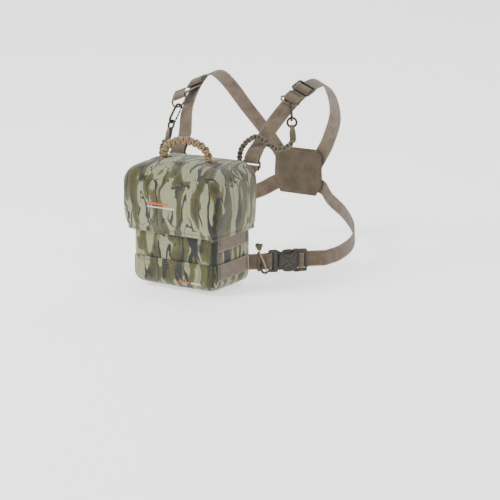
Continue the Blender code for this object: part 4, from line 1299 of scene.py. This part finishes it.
for side, label in SIDES:
    hanger = hangers[side]
    sideways = Vector((side, 0, 0))
    loop_low = Vector((side * SHOULDER_ROUTE[0][0], 0.0080, 0.0845))
    loop_up = Vector((0, 0.02, 0.998)).normalized()
    corners = rounded(-0.01475, 0.01475, 0, 0.0092, 0.0022)
    spots = [loop_low + sideways * x + loop_up * y for x, y in corners]
    loop_node = f"shoulder_loop_{label}"
    swept_wire(loop_node, spots, LOOP_WIRE, True, bronze_metal, "pack", loop_node)

    bar_middle = hanger.point + hanger.out * (0.0019 + hanger.wrap)
    down = D_RING_HANG[side]
    down = (down - down.dot(hanger.across) * hanger.across).normalized()
    bow = []
    for x in np.linspace(-1, 1, 9):
        bow.append(bar_middle + hanger.across * 0.0145 * x)
    for k in range(0, 33):
        angle = math.pi * k / 32
        spot = bar_middle + hanger.across * 0.0145 * math.cos(angle)
        bow.append(spot + down * (0.0025 + 0.0015 * min(1, 6 * math.sin(angle)) + 0.0135 * math.sin(angle)))
    swept_wire(f"d_ring_{label}", bow, D_WIRE, True, bronze_metal, "pack", f"d_ring_{label}")

    def on_hook(x, y):
        return hanger.hook_top + hanger.flat * x + hanger.hang * y

    low_turn = HOOK_LENGTH - HOOK_HALF
    spots = []
    for k in range(1, 24):
        angle = math.pi * k / 24
        spots.append(on_hook(HOOK_HALF * math.cos(angle), HOOK_HALF * (1 - math.sin(angle))))
    spine = [on_hook(-HOOK_HALF, y) for y in np.linspace(HOOK_HALF, low_turn, 8)]
    spots = [on_hook(HOOK_HALF, HOOK_HALF)] + spots + spine
    for k in range(1, 25):
        angle = math.pi * k / 24
        spots.append(on_hook(-HOOK_HALF * math.cos(angle), low_turn + HOOK_HALF * math.sin(angle)))
    nose = [HOOK_WIRE * f for f in (0.7, 1.1, 1.35)]
    widths = nose + [HOOK_FULL_WIRE] * (len(spots) - 3)
    swept_wire(f"snap_hook_{label}", spots, widths, False, gun_metal, "pack", f"hook_{label}")
    spots = [on_hook(HOOK_HALF, y) for y in np.linspace(low_turn - 0.0004, HOOK_HALF + 0.0006, 9)]
    widths = [HOOK_WIRE * f for f in (0.6, 0.95, 0.92, 0.85, 0.85, 0.85, 0.9, 1.0, 0.7)]
    gate = f"hook_gate_{label}"
    swept_wire(gate, spots, widths, False, gun_metal, gate, gate)
    pin_middle = on_hook(HOOK_HALF, low_turn - 0.0018)
    pin_way = hanger.hang.cross(hanger.flat)
    wall_strip(
        f"gate_pin_{label}",
        [pin_middle + pin_way * t for t in (-0.0019, -0.0016, 0.0016, 0.0019)],
        0.0006, gun_metal, "pack",
    )
    spots = []
    for k in range(40):
        angle = 2 * math.pi * k / 40
        way = hanger.tab_hang * math.cos(angle) + hanger.around * math.sin(angle)
        spots.append(hanger.ring_middle + way * RING_RADIUS)
    ring_node = f"tether_ring_{label}"
    swept_wire(ring_node, spots, TETHER_RING_WIRE, True, gun_metal, "pack", ring_node)
wear([f"{owner}_magnet_{label}" for owner in ("body", "lid") for _, label in SIDES], magnet_metal)


# --- Moulded plastic ---------------------------------------------------------------------------------
# Acetal fittings in a dark brown-grey, moulded with round edges and a fine spark-eroded texture: the
# sliders on the shoulders, and a side-release buckle on each side strap.
moulded, given, result = new_group(
    "moulded_grain",
    [("Place", "NodeSocketVector", None), ("Grain", "NodeSocketFloat", 1900.0)],
    [("Height", "NodeSocketFloat"), ("Scuff", "NodeSocketFloat")],
)
grain = node(moulded, "ShaderNodeTexVoronoi", {"Vector": given["Place"], "Scale": given["Grain"]})
moulded.links.new(grain.outputs[0], result.inputs["Height"])
scuff = node(moulded, "ShaderNodeTexNoise", {"Vector": given["Place"], "Scale": 240.0, "Detail": 6.0})
moulded.links.new(scuff.outputs[0], result.inputs["Scuff"])


def plastic_finish(name, deep, light):
    material, tree, shader = new_finish(name)
    here = node(tree, "ShaderNodeTexCoord").outputs["Object"]
    skin = place_group(tree, moulded, {"Place": here})
    scuffed = ramp(tree, skin.outputs["Scuff"], [(0.30, deep), (0.72, light)])
    tree.links.new(scuffed, shader.inputs["Base Color"])
    dull = node(tree, "ShaderNodeMapRange", {0: skin.outputs["Scuff"], 3: 0.38, 4: 0.55})
    tree.links.new(dull.outputs[0], shader.inputs["Roughness"])
    tree.links.new(bump(tree, skin.outputs["Height"], 0.00012, 0.35), shader.inputs["Normal"])
    return material


buckle_plastic = plastic_finish("buckle_plastic", dye(32, 27, 21), dye(50, 43, 35))


def frame_at(origin, x_axis, z_axis):
    """A matrix at a point, with +X along x_axis and +Z as near to z_axis as it can be."""
    x_axis = Vector(x_axis).normalized()
    y_axis = Vector(z_axis).cross(x_axis).normalized()
    matrix = Matrix((x_axis, y_axis, x_axis.cross(y_axis))).transposed().to_4x4()
    matrix.translation = Vector(origin)
    return matrix


def moulding(name, outlines, thick, matrix, body_name, nodes, soften=0.0007, lift=0.0, material=None):
    """A moulded plate: outlines filled with their holes, given a thickness, and its edges rounded."""
    data = bpy.data.curves.new(name + "_line", "CURVE")
    data.dimensions = "2D"
    data.fill_mode = "BOTH"
    data.extrude = thick / 2
    for outline in outlines:
        spline = data.splines.new("POLY")
        spline.points.add(len(outline) - 1)
        for vert, (x, y) in zip(spline.points, outline):
            vert.co = (x, y, 0, 1)
        spline.use_cyclic_u = True
    piece = bpy.data.objects.new(name, data)
    bpy.context.scene.collection.objects.link(piece)
    bpy.ops.object.select_all(action="DESELECT")
    piece.select_set(True)
    bpy.context.view_layer.objects.active = piece
    bpy.ops.object.convert(target="MESH")
    piece = bpy.context.object
    piece.name = name
    bpy.ops.object.mode_set(mode="EDIT")
    bpy.ops.mesh.select_all(action="SELECT")
    bpy.ops.mesh.remove_doubles(threshold=0.00001)
    bpy.ops.mesh.dissolve_limited(angle_limit=math.radians(0.5))
    bpy.ops.mesh.normals_make_consistent(inside=False)
    bpy.ops.object.mode_set(mode="OBJECT")
    piece.data.transform(matrix @ Matrix.Translation((0, 0, lift)))
    if soften:
        round_edge = piece.modifiers.new("round", "BEVEL")
        round_edge.width = soften
        round_edge.segments = 3
        round_edge.limit_method = "ANGLE"
        round_edge.angle_limit = math.radians(50)
        round_edge.use_clamp_overlap = True
        apply_modifiers(piece)
    piece.data.shade_smooth()
    piece.data.set_sharp_from_angle(angle=math.radians(40))
    piece.data.materials.clear()
    piece.data.materials.append(material or buckle_plastic)
    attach(piece, body_name)
    if nodes:
        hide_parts(*nodes)
    return piece


for side, label in SIDES:
    middle, across, out = hangers[side].strap.at(SLIDER_AT[side], 0.0045)
    edge = rounded(-0.0165, 0.0165, -0.012, 0.012, 0.0035)
    slots = [rounded(-0.0132, 0.0132, y - 0.0034, y + 0.0034, 0.0010, 2) for y in (-0.0054, 0.0054)]
    slider = f"slider_{label}"
    moulding(slider, [edge] + slots, 0.0030, frame_at(middle, across, out), "pack", [slider])


# --- Side straps and buckles -------------------------------------------------------------------------
# On each side a short strap comes from the back seam, is folded round the plug's bar and sewn. The plug
# snaps into a socket, whose ladder grips the long strap from round the waist. A keeper and a loop of
# thin elastic with a knot hold the spare end.
BELT_START = Vector((0.076, 0.004, -0.0625))
BELT_ALONG = Vector((0.743, 0.669, 0)).normalized()
BELT_OUT = Vector((0.669, -0.743, 0)).normalized()
BELT_UNDER = -0.0059
WAIST_CENTRE = Vector((0, 0.132, 0))
elastic_cord = cord_finish("elastic_cord", dye(74, 65, 53), dye(128, 116, 99), dye(160, 148, 130))
up = Vector((0, 0, 1))


def mirrored_outline(half_shape):
    """A closed outline from the upper half of a shape that is the same below its middle line."""
    return half_shape + [(x, -y) for x, y in reversed(half_shape)]


for side, label in SIDES:
    start = Vector((side * BELT_START.x, BELT_START.y, BELT_START.z))
    along = Vector((side * BELT_ALONG.x, BELT_ALONG.y, 0))
    out = Vector((side * BELT_OUT.x, BELT_OUT.y, 0))
    buckle = frame_at(start, along, out)
    y_is_up = 1 if buckle.to_3x3().col[1].z > 0 else -1

    def web(section):
        return [(start + along * distance + out * height, up) for distance, height in section]

    section = [(-0.0118, 0), (0.0090, 0), (0.0140, -0.0012), (0.0200, -0.0033)]
    section += turn_round((0.0228, 0), 0.0034, 270, 450)
    section += [(0.0195, 0.0031), (0.0160, 0.0019), (0.0110, 0.0019)]
    plug_strap = Strap(finer(web(section), 0.0012))
    plug_strap.piece(f"plug_strap_{label}", "pack", [f"plug_strap_{label}"])
    end = plug_strap.reach[-1]
    face = 1 if plug_strap.place(end - 0.003)[1].dot(out) > 0 else -1
    rows = bar_tack(plug_strap, end - 0.0022, 0.0108, face, 3)
    stitch_rows(f"plug_strap_stitches_{label}", rows, thread_cord, "pack", 0.0024, 0.0004)

    section = [(0.0675, -0.0037), (0.0685, -0.0036), (0.0692, -0.0010), (0.0694, 0.0022)]
    section += [(0.0702, 0.0034), (0.0730, 0.0036), (0.0758, 0.0034)]
    section += [(0.0766, 0.0022), (0.0768, -0.0010), (0.0775, -0.0036), (0.0860, -0.0037)]
    ladder_web = Strap(finer(web(section), 0.0012), 0.0248)
    ladder_web.piece(f"socket_webbing_{label}", f"socket_{label}", [f"socket_webbing_{label}"])

    points = [start + along * s + out * BELT_UNDER for s in (0.0690, 0.0800, 0.0920, 0.1040, 0.1120)]
    for degrees, rise in ((-8, -0.0600), (10, -0.0530), (30, -0.0430), (50, -0.0270), (66, -0.0110)):
        angle = math.radians(degrees)
        x = side * 0.165 * math.cos(angle)
        points.append(Vector((x, WAIST_CENTRE.y + 0.130 * math.sin(angle), rise)))
    points += [Vector((side * 0.046, 0.2650, 0.0020)), Vector((side * 0.030, 0.2666, 0.0060))]
    route = points[:4] + smooth_route(points[4:], 0.010)
    waist = StrapLine(route, lambda point: Vector((WAIST_CENTRE.x, WAIST_CENTRE.y, point.z)))
    places = [(point, up) for point in route[:5]]
    for point, across in list(zip(route, waist.across))[5:]:
        places.append((point, across if across.z > 0 else -across))
    side_strap = Strap(finer(places))
    side_strap.piece(f"side_strap_{label}", "pack", [f"side_strap_{label}"])

    # The plug: a bar, a body with a plate under the bar's hole, a plain tongue, and two arms with ribbed
    # grips.
    frame_edge = rounded(0.0213, 0.0368, -0.0178, 0.0178, 0.0030)
    bar_hole = rounded(0.0243, 0.0292, -0.0132, 0.0132, 0.0010, 2)
    plug = f"buckle_plug_{label}"
    moulding(plug, [frame_edge, bar_hole], 0.0036, buckle, "pack", [plug])
    floor_edge = rounded(0.0238, 0.0296, -0.0138, 0.0138, 0.0010, 2)
    moulding(f"plug_floor_{label}", [floor_edge], 0.0010, buckle, "pack", [], 0.0, -0.0012)
    tongue_edge = rounded(0.0360, 0.0520, -0.0030, 0.0030, 0.0012)
    moulding(f"buckle_tongue_{label}", [tongue_edge], 0.0024, buckle, "pack", [], 0.0004)
    for name, sign in (("upper", 1), ("lower", -1)):
        arm = [(0.0372, 0.0087), (0.0440, 0.0088), (0.0520, 0.0092), (0.0590, 0.0098), (0.0600, 0.0108),
               (0.0602, 0.0150), (0.0596, 0.0170), (0.0570, 0.0177), (0.0520, 0.0179), (0.0470, 0.0174),
               (0.0440, 0.0160), (0.0420, 0.0138), (0.0395, 0.0125), (0.0372, 0.0121)]
        outline = [(x, sign * y_is_up * y) for x, y in arm]
        moulding(f"plug_arm_{name}_{label}", [outline], 0.0040, buckle, f"plug_arm_{name}_{label}",
                 [f"plug_arm_{name}_{label}"])
        ribs = []
        for k in range(4):
            x = 0.0490 + 0.0022 * k
            ribs.append(x)
        mesh = bmesh.new()
        uv_layer = mesh.loops.layers.uv.new("UVMap")
        for x in ribs:
            spots = []
            for z in (-0.0016, -0.0010, 0.0010, 0.0016):
                y = sign * y_is_up * 0.0174
                spots.append(buckle @ Vector((x, y, z)))
            tube_on(mesh, uv_layer, spots, 0.0004, 6)
        grip, arm_body = f"arm_grip_{name}_{label}", f"plug_arm_{name}_{label}"
        finish_mesh(grip, mesh, [buckle_plastic], arm_body)

    # The socket: two skins joined at the mouth, the spine and the ladder, with windows for the arms.
    skin = mirrored_outline([
        (0.0370, 0.0138), (0.0378, 0.0146), (0.0400, 0.0142),
        (0.0440, 0.0126), (0.0480, 0.0118), (0.0560, 0.0122),
        (0.0592, 0.0142), (0.0612, 0.0170), (0.0630, 0.0178), (0.0655, 0.0180),
    ])
    holes = [rounded(x, x + 0.0040, -0.0132, 0.0132, 0.0008, 2) for x in (0.0672, 0.0748)]
    for face_name, lift in (("front", 0.0034), ("back", -0.0034)):
        moulding(f"socket_{face_name}_{label}", [skin], 0.0019, buckle,
                 f"socket_{label}", [f"buckle_socket_{label}"] if lift > 0 else [], 0.0006, lift)
    ladder_half = [(0.0640, 0.0170), (0.0660, 0.0180), (0.0800, 0.0178), (0.0816, 0.0172), (0.0820, 0.0160)]
    ladder = mirrored_outline(ladder_half)
    moulding(f"socket_ladder_{label}", [ladder] + holes, 0.0042, buckle, f"socket_{label}", [], 0.0006)
    for edge_y in (0.0170, -0.0170):
        wall = rounded(0.0606, 0.0680, edge_y - 0.0010, edge_y + 0.0010, 0.0006, 2)
        moulding(f"socket_wall_{'upper' if edge_y > 0 else 'lower'}_{label}", [wall], 0.0084, buckle,
                 f"socket_{label}", [], 0.0004)
    # The raised X on the socket's face, and a rim round its edge.
    mesh = bmesh.new()
    uv_layer = mesh.loops.layers.uv.new("UVMap")
    for sign in (1, -1):
        spots = [(0.0390, 0.0118), (0.0440, 0.0082), (0.0500, 0.0035)]
        spots += [(0.0550, 0.0022), (0.0610, 0.0075), (0.0648, 0.0120)]
        line = smooth_route([(x, sign * y, 0.00435) for x, y in spots], 0.0012)
        tube_on(mesh, uv_layer, [buckle @ p for p in line], 0.00055, 8)
    rim_half = [(0.0388, 0.0132), (0.0436, 0.0115), (0.0480, 0.0107), (0.0556, 0.0110),
                (0.0584, 0.0128), (0.0610, 0.0158), (0.0644, 0.0168)]
    rim = mirrored_outline(rim_half)
    tube_on(mesh, uv_layer, [buckle @ Vector((x, y, 0.0043)) for x, y in rim], 0.0005, 8, True)
    finish_mesh(f"socket_relief_{label}", mesh, [buckle_plastic], f"socket_{label}")

    # The elastic keeper round the plug's strap, its moulded clip, and the elastic loop with its knot.
    band = []
    for x, y in rounded(-0.0150, 0.0150, -0.0024, 0.0024, 0.0020, 4):
        band.append((start + along * 0.0065 + up * x + out * y, along))
    band.append(band[0])
    keeper = Strap(band, 0.0046, 0.0010)
    keeper.piece(f"strap_keeper_{label}", "pack", [f"strap_keeper_{label}"])
    mesh = bmesh.new()
    uv_layer = mesh.loops.layers.uv.new("UVMap")
    clip = [(0.0085, -0.0030, 0.0062), (0.0092, -0.0110, 0.0064),
            (0.0118, -0.0158, 0.0058), (0.0155, -0.0176, 0.0050),
            (0.0190, -0.0162, 0.0052), (0.0206, -0.0138, 0.0054)]
    line = smooth_route([start + along * x + up * y + out * z for x, y, z in clip], 0.0012)
    last = len(line) - 1
    widths = [0.0010 + 0.0009 * math.sin(math.pi * k / last) ** 0.5 for k in range(last + 1)]
    tube_on(mesh, uv_layer, line, widths, 10)
    finish_mesh(f"keeper_clip_{label}", mesh, [buckle_plastic], "pack")
    knob = start + along * 0.0060 + out * 0.0048 + up * 0.0250
    cord = [knob, knob + out * 0.002 - up * 0.0075, start + along * 0.0100 + out * 0.0072 + up * 0.0080,
            start + along * 0.0150 + out * 0.0072 - up * 0.0050,
            start + along * 0.0172 + out * 0.0060 - up * 0.0150]
    line = smooth_route(cord, 0.0015)
    mesh = bmesh.new()
    uv_layer = mesh.loops.layers.uv.new("UVMap")
    tube_on(mesh, uv_layer, line, 0.0013, 10)
    elastic = finish_mesh(f"keeper_cord_{label}", mesh, [elastic_cord], "pack")
    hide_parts(f"keeper_cord_{label}")
    mesh = bmesh.new()
    uv_layer = mesh.loops.layers.uv.new("UVMap")
    spots = []
    for k in range(60):
        t = 2 * math.pi * k / 60
        x = math.sin(t) + 2 * math.sin(2 * t)
        y = math.cos(t) - 2 * math.cos(2 * t)
        z = -math.sin(3 * t)
        spots.append(knob + (along * x + up * y) * 0.00165 + out * z * 0.0018)
    tube_on(mesh, uv_layer, spots, 0.0019, 8, True)
    knot = finish_mesh(f"keeper_knot_{label}", mesh, [olive_cord], "pack")


# --- Back pad, tapes and linings ---------------------------------------------------------------------
# A foam pad under open spacer mesh lies against the chest. Tapes bind the mouth and hinge the hood, and
# a loose pad lies on the floor inside.
spacer, given, result = new_group(
    "spacer_mesh",
    [("Place", "NodeSocketVector", None), ("Cell", "NodeSocketFloat", 420.0)],
    [("Hole", "NodeSocketFloat"), ("Cloud", "NodeSocketFloat")],
)
cell_values = {"Vector": given["Place"], "Scale": given["Cell"], "Randomness": 0.25}
cells = node(spacer, "ShaderNodeTexVoronoi", cell_values)
spacer.links.new(cells.outputs[0], result.inputs["Hole"])
clouds = node(spacer, "ShaderNodeTexNoise", {"Vector": given["Place"], "Scale": 60.0, "Detail": 3.0})
spacer.links.new(clouds.outputs[0], result.inputs["Cloud"])
pad_mesh, tree, shader = new_finish("pad_mesh")
here = node(tree, "ShaderNodeTexCoord").outputs["Object"]
net = place_group(tree, spacer, {"Place": here})
# The mesh's holes are painted near black: painted shade in hollows that the flat pad does not have. The
# lighter stops are the mesh's own tone.
mesh_colors_with_hole_shade = [(0.18, dye(24, 22, 19)), (0.42, dye(84, 77, 66)), (0.8, dye(104, 96, 82))]
color = ramp(tree, net.outputs["Hole"], mesh_colors_with_hole_shade)
tree.links.new(color, shader.inputs["Base Color"])
tree.links.new(bump(tree, net.outputs["Hole"], 0.0012, 0.8), shader.inputs["Normal"])
shader.inputs["Roughness"].default_value = 0.85


def soft_pad(name, low, high, corner, cuts, material, body_name, nodes, pressure, cap):
    """A pad: a rounded block that swells between its edges. Any sewn channels are pressed in afterwards."""
    pad = add_box(name, low, high)
    open_and_divide(pad, [], cuts)
    for vert in pad.data.vertices:
        vert.co = round_to(vert.co.copy(), Vector(low), Vector(high), corner)
    puff(pad, lambda p: 1.0 if p.y < low[1] + 0.001 else 0.0, pressure, cap, 12)
    pad.data.materials.append(material)
    pad.data.shade_smooth()
    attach(pad, body_name)
    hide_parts(*nodes)
    return pad


back_pad = soft_pad("back_pad", (-0.0655, -0.0077, -0.0815), (0.0655, -0.0012, 0.0745),
                    0.0031, 34, pad_mesh, "pack",
                    ["back_pad"], 2.0, 0.0012)
for vert in back_pad.data.vertices:
    if vert.co.y > -0.004:
        for channel in (-0.030, 0.022):
            vert.co.y -= 0.0018 * math.exp(-((vert.co.z - channel) / 0.003) ** 2)
soft_pad("floor_pad", (-0.0560, -0.0860, -0.0846), (0.0560, -0.0240, -0.0802), 0.0020, 16, lining, "pack",
                     ["floor_pad"], 0.5, 0.0003)


def bound_tape(name, spots, width, thick, body_name, nodes, material=None):
    """Flat binding tape laid along spots of (point, across)."""
    tape = Strap(spots, width, thick)
    return tape.piece(name, body_name, nodes, material=material)


mouth = []
inset = 0.0056 + 0.0006
for x, y in rounded(-0.073 + inset, 0.073 - inset, -0.102 + inset, -0.008 - inset, 0.008 - inset, 8):
    mouth.append((Vector((x, y, 0.069)), Vector((0, 0, 1))))
mouth.append(mouth[0])
bound_tape("mouth_tape", mouth, 0.0140, 0.0010, "pack", ["mouth_tape"])
hinge = []
for y, z in ((-0.0070, 0.0760), (-0.0069, 0.0800), (-0.0069, 0.0850), (-0.0069, 0.0890), (-0.0073, 0.0925)):
    hinge.append((Vector((0, y, z)), Vector((1, 0, 0))))
hinge_tape = Strap(finer(hinge, 0.001), 0.079, 0.0013).piece("hinge_tape", None, ["hinge_tape"])
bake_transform(hinge_tape)


# --- Back patch --------------------------------------------------------------------------------------
# The four straps meet between the shoulder blades in a patch of doubled webbing cloth with a quilted
# edge. It is sewn through with a row of stitches round its edge, on both faces.
outline = [(-0.034, -0.012), (0.034, -0.012), (0.046, 0.010), (0.044, 0.058)]
outline += [(0.036, 0.066), (-0.036, 0.066), (-0.044, 0.058), (-0.046, 0.010)]
patch_cloth, tree, shader = new_finish("patch_cloth")
here = node(tree, "ShaderNodeTexCoord").outputs["Object"]
cloth = place_group(tree, plain_weave, {"Place": here, "Threads": 2600.0})
color = ramp(tree, cloth.outputs["Cloud"], [(0.3, dye(72, 62, 49)), (0.7, dye(94, 82, 66))])
tree.links.new(color, shader.inputs["Base Color"])
tree.links.new(bump(tree, cloth.outputs["Height"], 0.0005, 0.7), shader.inputs["Normal"])
shader.inputs["Roughness"].default_value = 0.85
bpy.ops.object.select_all(action="DESELECT")
bpy.ops.mesh.primitive_grid_add(x_subdivisions=44, y_subdivisions=38, size=1)
back_patch = bpy.context.object
back_patch.name = "back_patch"


def patch_half_width(z):
    """The patch's half width at a height: it narrows to its foot and has clipped top corners."""
    return float(np.interp(z, (-0.012, 0.010, 0.058, 0.066), (0.034, 0.046, 0.044, 0.036)))


for vert in back_patch.data.vertices:
    u = vert.co.x * 2
    z = -0.012 + (vert.co.y + 0.5) * 0.078
    from_side = (1 - abs(u)) * patch_half_width(z)
    from_end = min(z + 0.012, 0.066 - z)
    edge = min(from_side, from_end)
    rise = 0.0016 * min(1.0, edge / 0.006) ** 0.5 - 0.0009 * math.exp(-((edge - 0.0065) / 0.0014) ** 2)
    vert.co = Vector((u * patch_half_width(z), 0.2618 - rise, z))
thick = back_patch.modifiers.new("cloth", "SOLIDIFY")
thick.thickness = 0.0016
thick.offset = 1
soft = back_patch.modifiers.new("soft", "SUBSURF")
soft.levels = 1
soft.render_levels = 1
apply_modifiers(back_patch)
bpy.ops.object.mode_set(mode="EDIT")
bpy.ops.mesh.select_all(action="SELECT")
bpy.ops.mesh.normals_make_consistent(inside=False)
bpy.ops.object.mode_set(mode="OBJECT")
back_patch.data.materials.append(patch_cloth)
back_patch.data.shade_smooth()
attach(back_patch, "pack")
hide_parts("back_patch")
patch_tree = tree_of(back_patch)
rows = []
for way in ((0, -1, 0), (0, 1, 0)):
    ring = []
    for k in range(len(outline) + 1):
        (x0, z0), (x1, z1) = outline[k % len(outline)], outline[(k + 1) % len(outline)]
        for part in np.linspace(0, 1, 12, endpoint=False):
            x, z = x0 + (x1 - x0) * part, z0 + (z1 - z0) * part
            shrink = 0.86
            start = (x * shrink, 0.2612, 0.027 + (z - 0.027) * shrink)
            ring.append(pressed_on(patch_tree, start, way, 0.03))
    rows.append(ring[: 12 * len(outline) + 1])
stitch_rows("back_patch_stitches", rows, thread_cord, "pack")


# --- Room --------------------------------------------------------------------------------------------
# A pale seamless sweep, 3 mm below the lowest part of the pack and curving up behind it, with broad
# soft lights round it.
bpy.ops.object.select_all(action="DESELECT")
bpy.ops.mesh.primitive_plane_add(size=1)
sweep = bpy.context.object
sweep.name = "floor_sweep"
mesh = bmesh.new()
profile = [(-6.0, 0.0), (2.2, 0.0)]
for k in range(1, 13):
    angle = math.pi / 2 * k / 12
    profile.append((2.2 + 1.2 * math.sin(angle), 1.2 * (1 - math.cos(angle))))
profile.append((3.4, 6.0))
before = None
for distance, rise in profile:
    now = []
    for wide in (-9.0, 9.0):
        spot = Matrix.Rotation(math.radians(32.3), 3, "Z") @ Vector((wide, distance, 0))
        now.append(mesh.verts.new((spot.x, spot.y, rise - 0.0955)))
    if before:
        mesh.faces.new((before[0], before[1], now[1], now[0]))
    before = now
mesh.to_mesh(sweep.data)
mesh.free()
sweep.data.shade_smooth()
paper, tree, shader = new_finish("pale_paper")
here = node(tree, "ShaderNodeTexCoord").outputs["Object"]
tone = node(tree, "ShaderNodeTexNoise", {"Vector": here, "Scale": 3.0, "Detail": 2.0})
pale_tone = ramp(tree, tone.outputs[0], [(0.3, dye(246, 246, 245)), (0.7, dye(250, 250, 249))])
tree.links.new(pale_tone, shader.inputs["Base Color"])
shader.inputs["Emission Color"].default_value = (1, 1, 1, 1)
shader.inputs["Emission Strength"].default_value = 1.0
shader.inputs["Roughness"].default_value = 0.9
sweep.data.materials.append(paper)

world = bpy.data.worlds.new("studio")
bpy.context.scene.world = world
world.use_nodes = True
world.node_tree.nodes["Background"].inputs[0].default_value = (1.0, 0.995, 0.985, 1)
world.node_tree.nodes["Background"].inputs[1].default_value = 0.50


def soft_light(name, location, aim, size, power):
    bpy.ops.object.select_all(action="DESELECT")
    bpy.ops.object.light_add(type="AREA", location=location)
    light = bpy.context.object
    light.name = name
    light.data.shape = "SQUARE"
    light.data.size = size
    light.data.energy = power
    light.rotation_euler = (Vector(aim) - Vector(location)).to_track_quat("-Z", "Y").to_euler()


soft_light("key_light", (-1.2, -1.9, 2.0), (0, 0, 0.02), 1.1, 82)
soft_light("fill_light", (2.1, -1.3, 1.1), (0, 0, 0.02), 1.6, 12)
soft_light("top_light", (0.2, 0.6, 2.4), (0, 0, 0.0), 1.5, 26)

low, high = cad_box
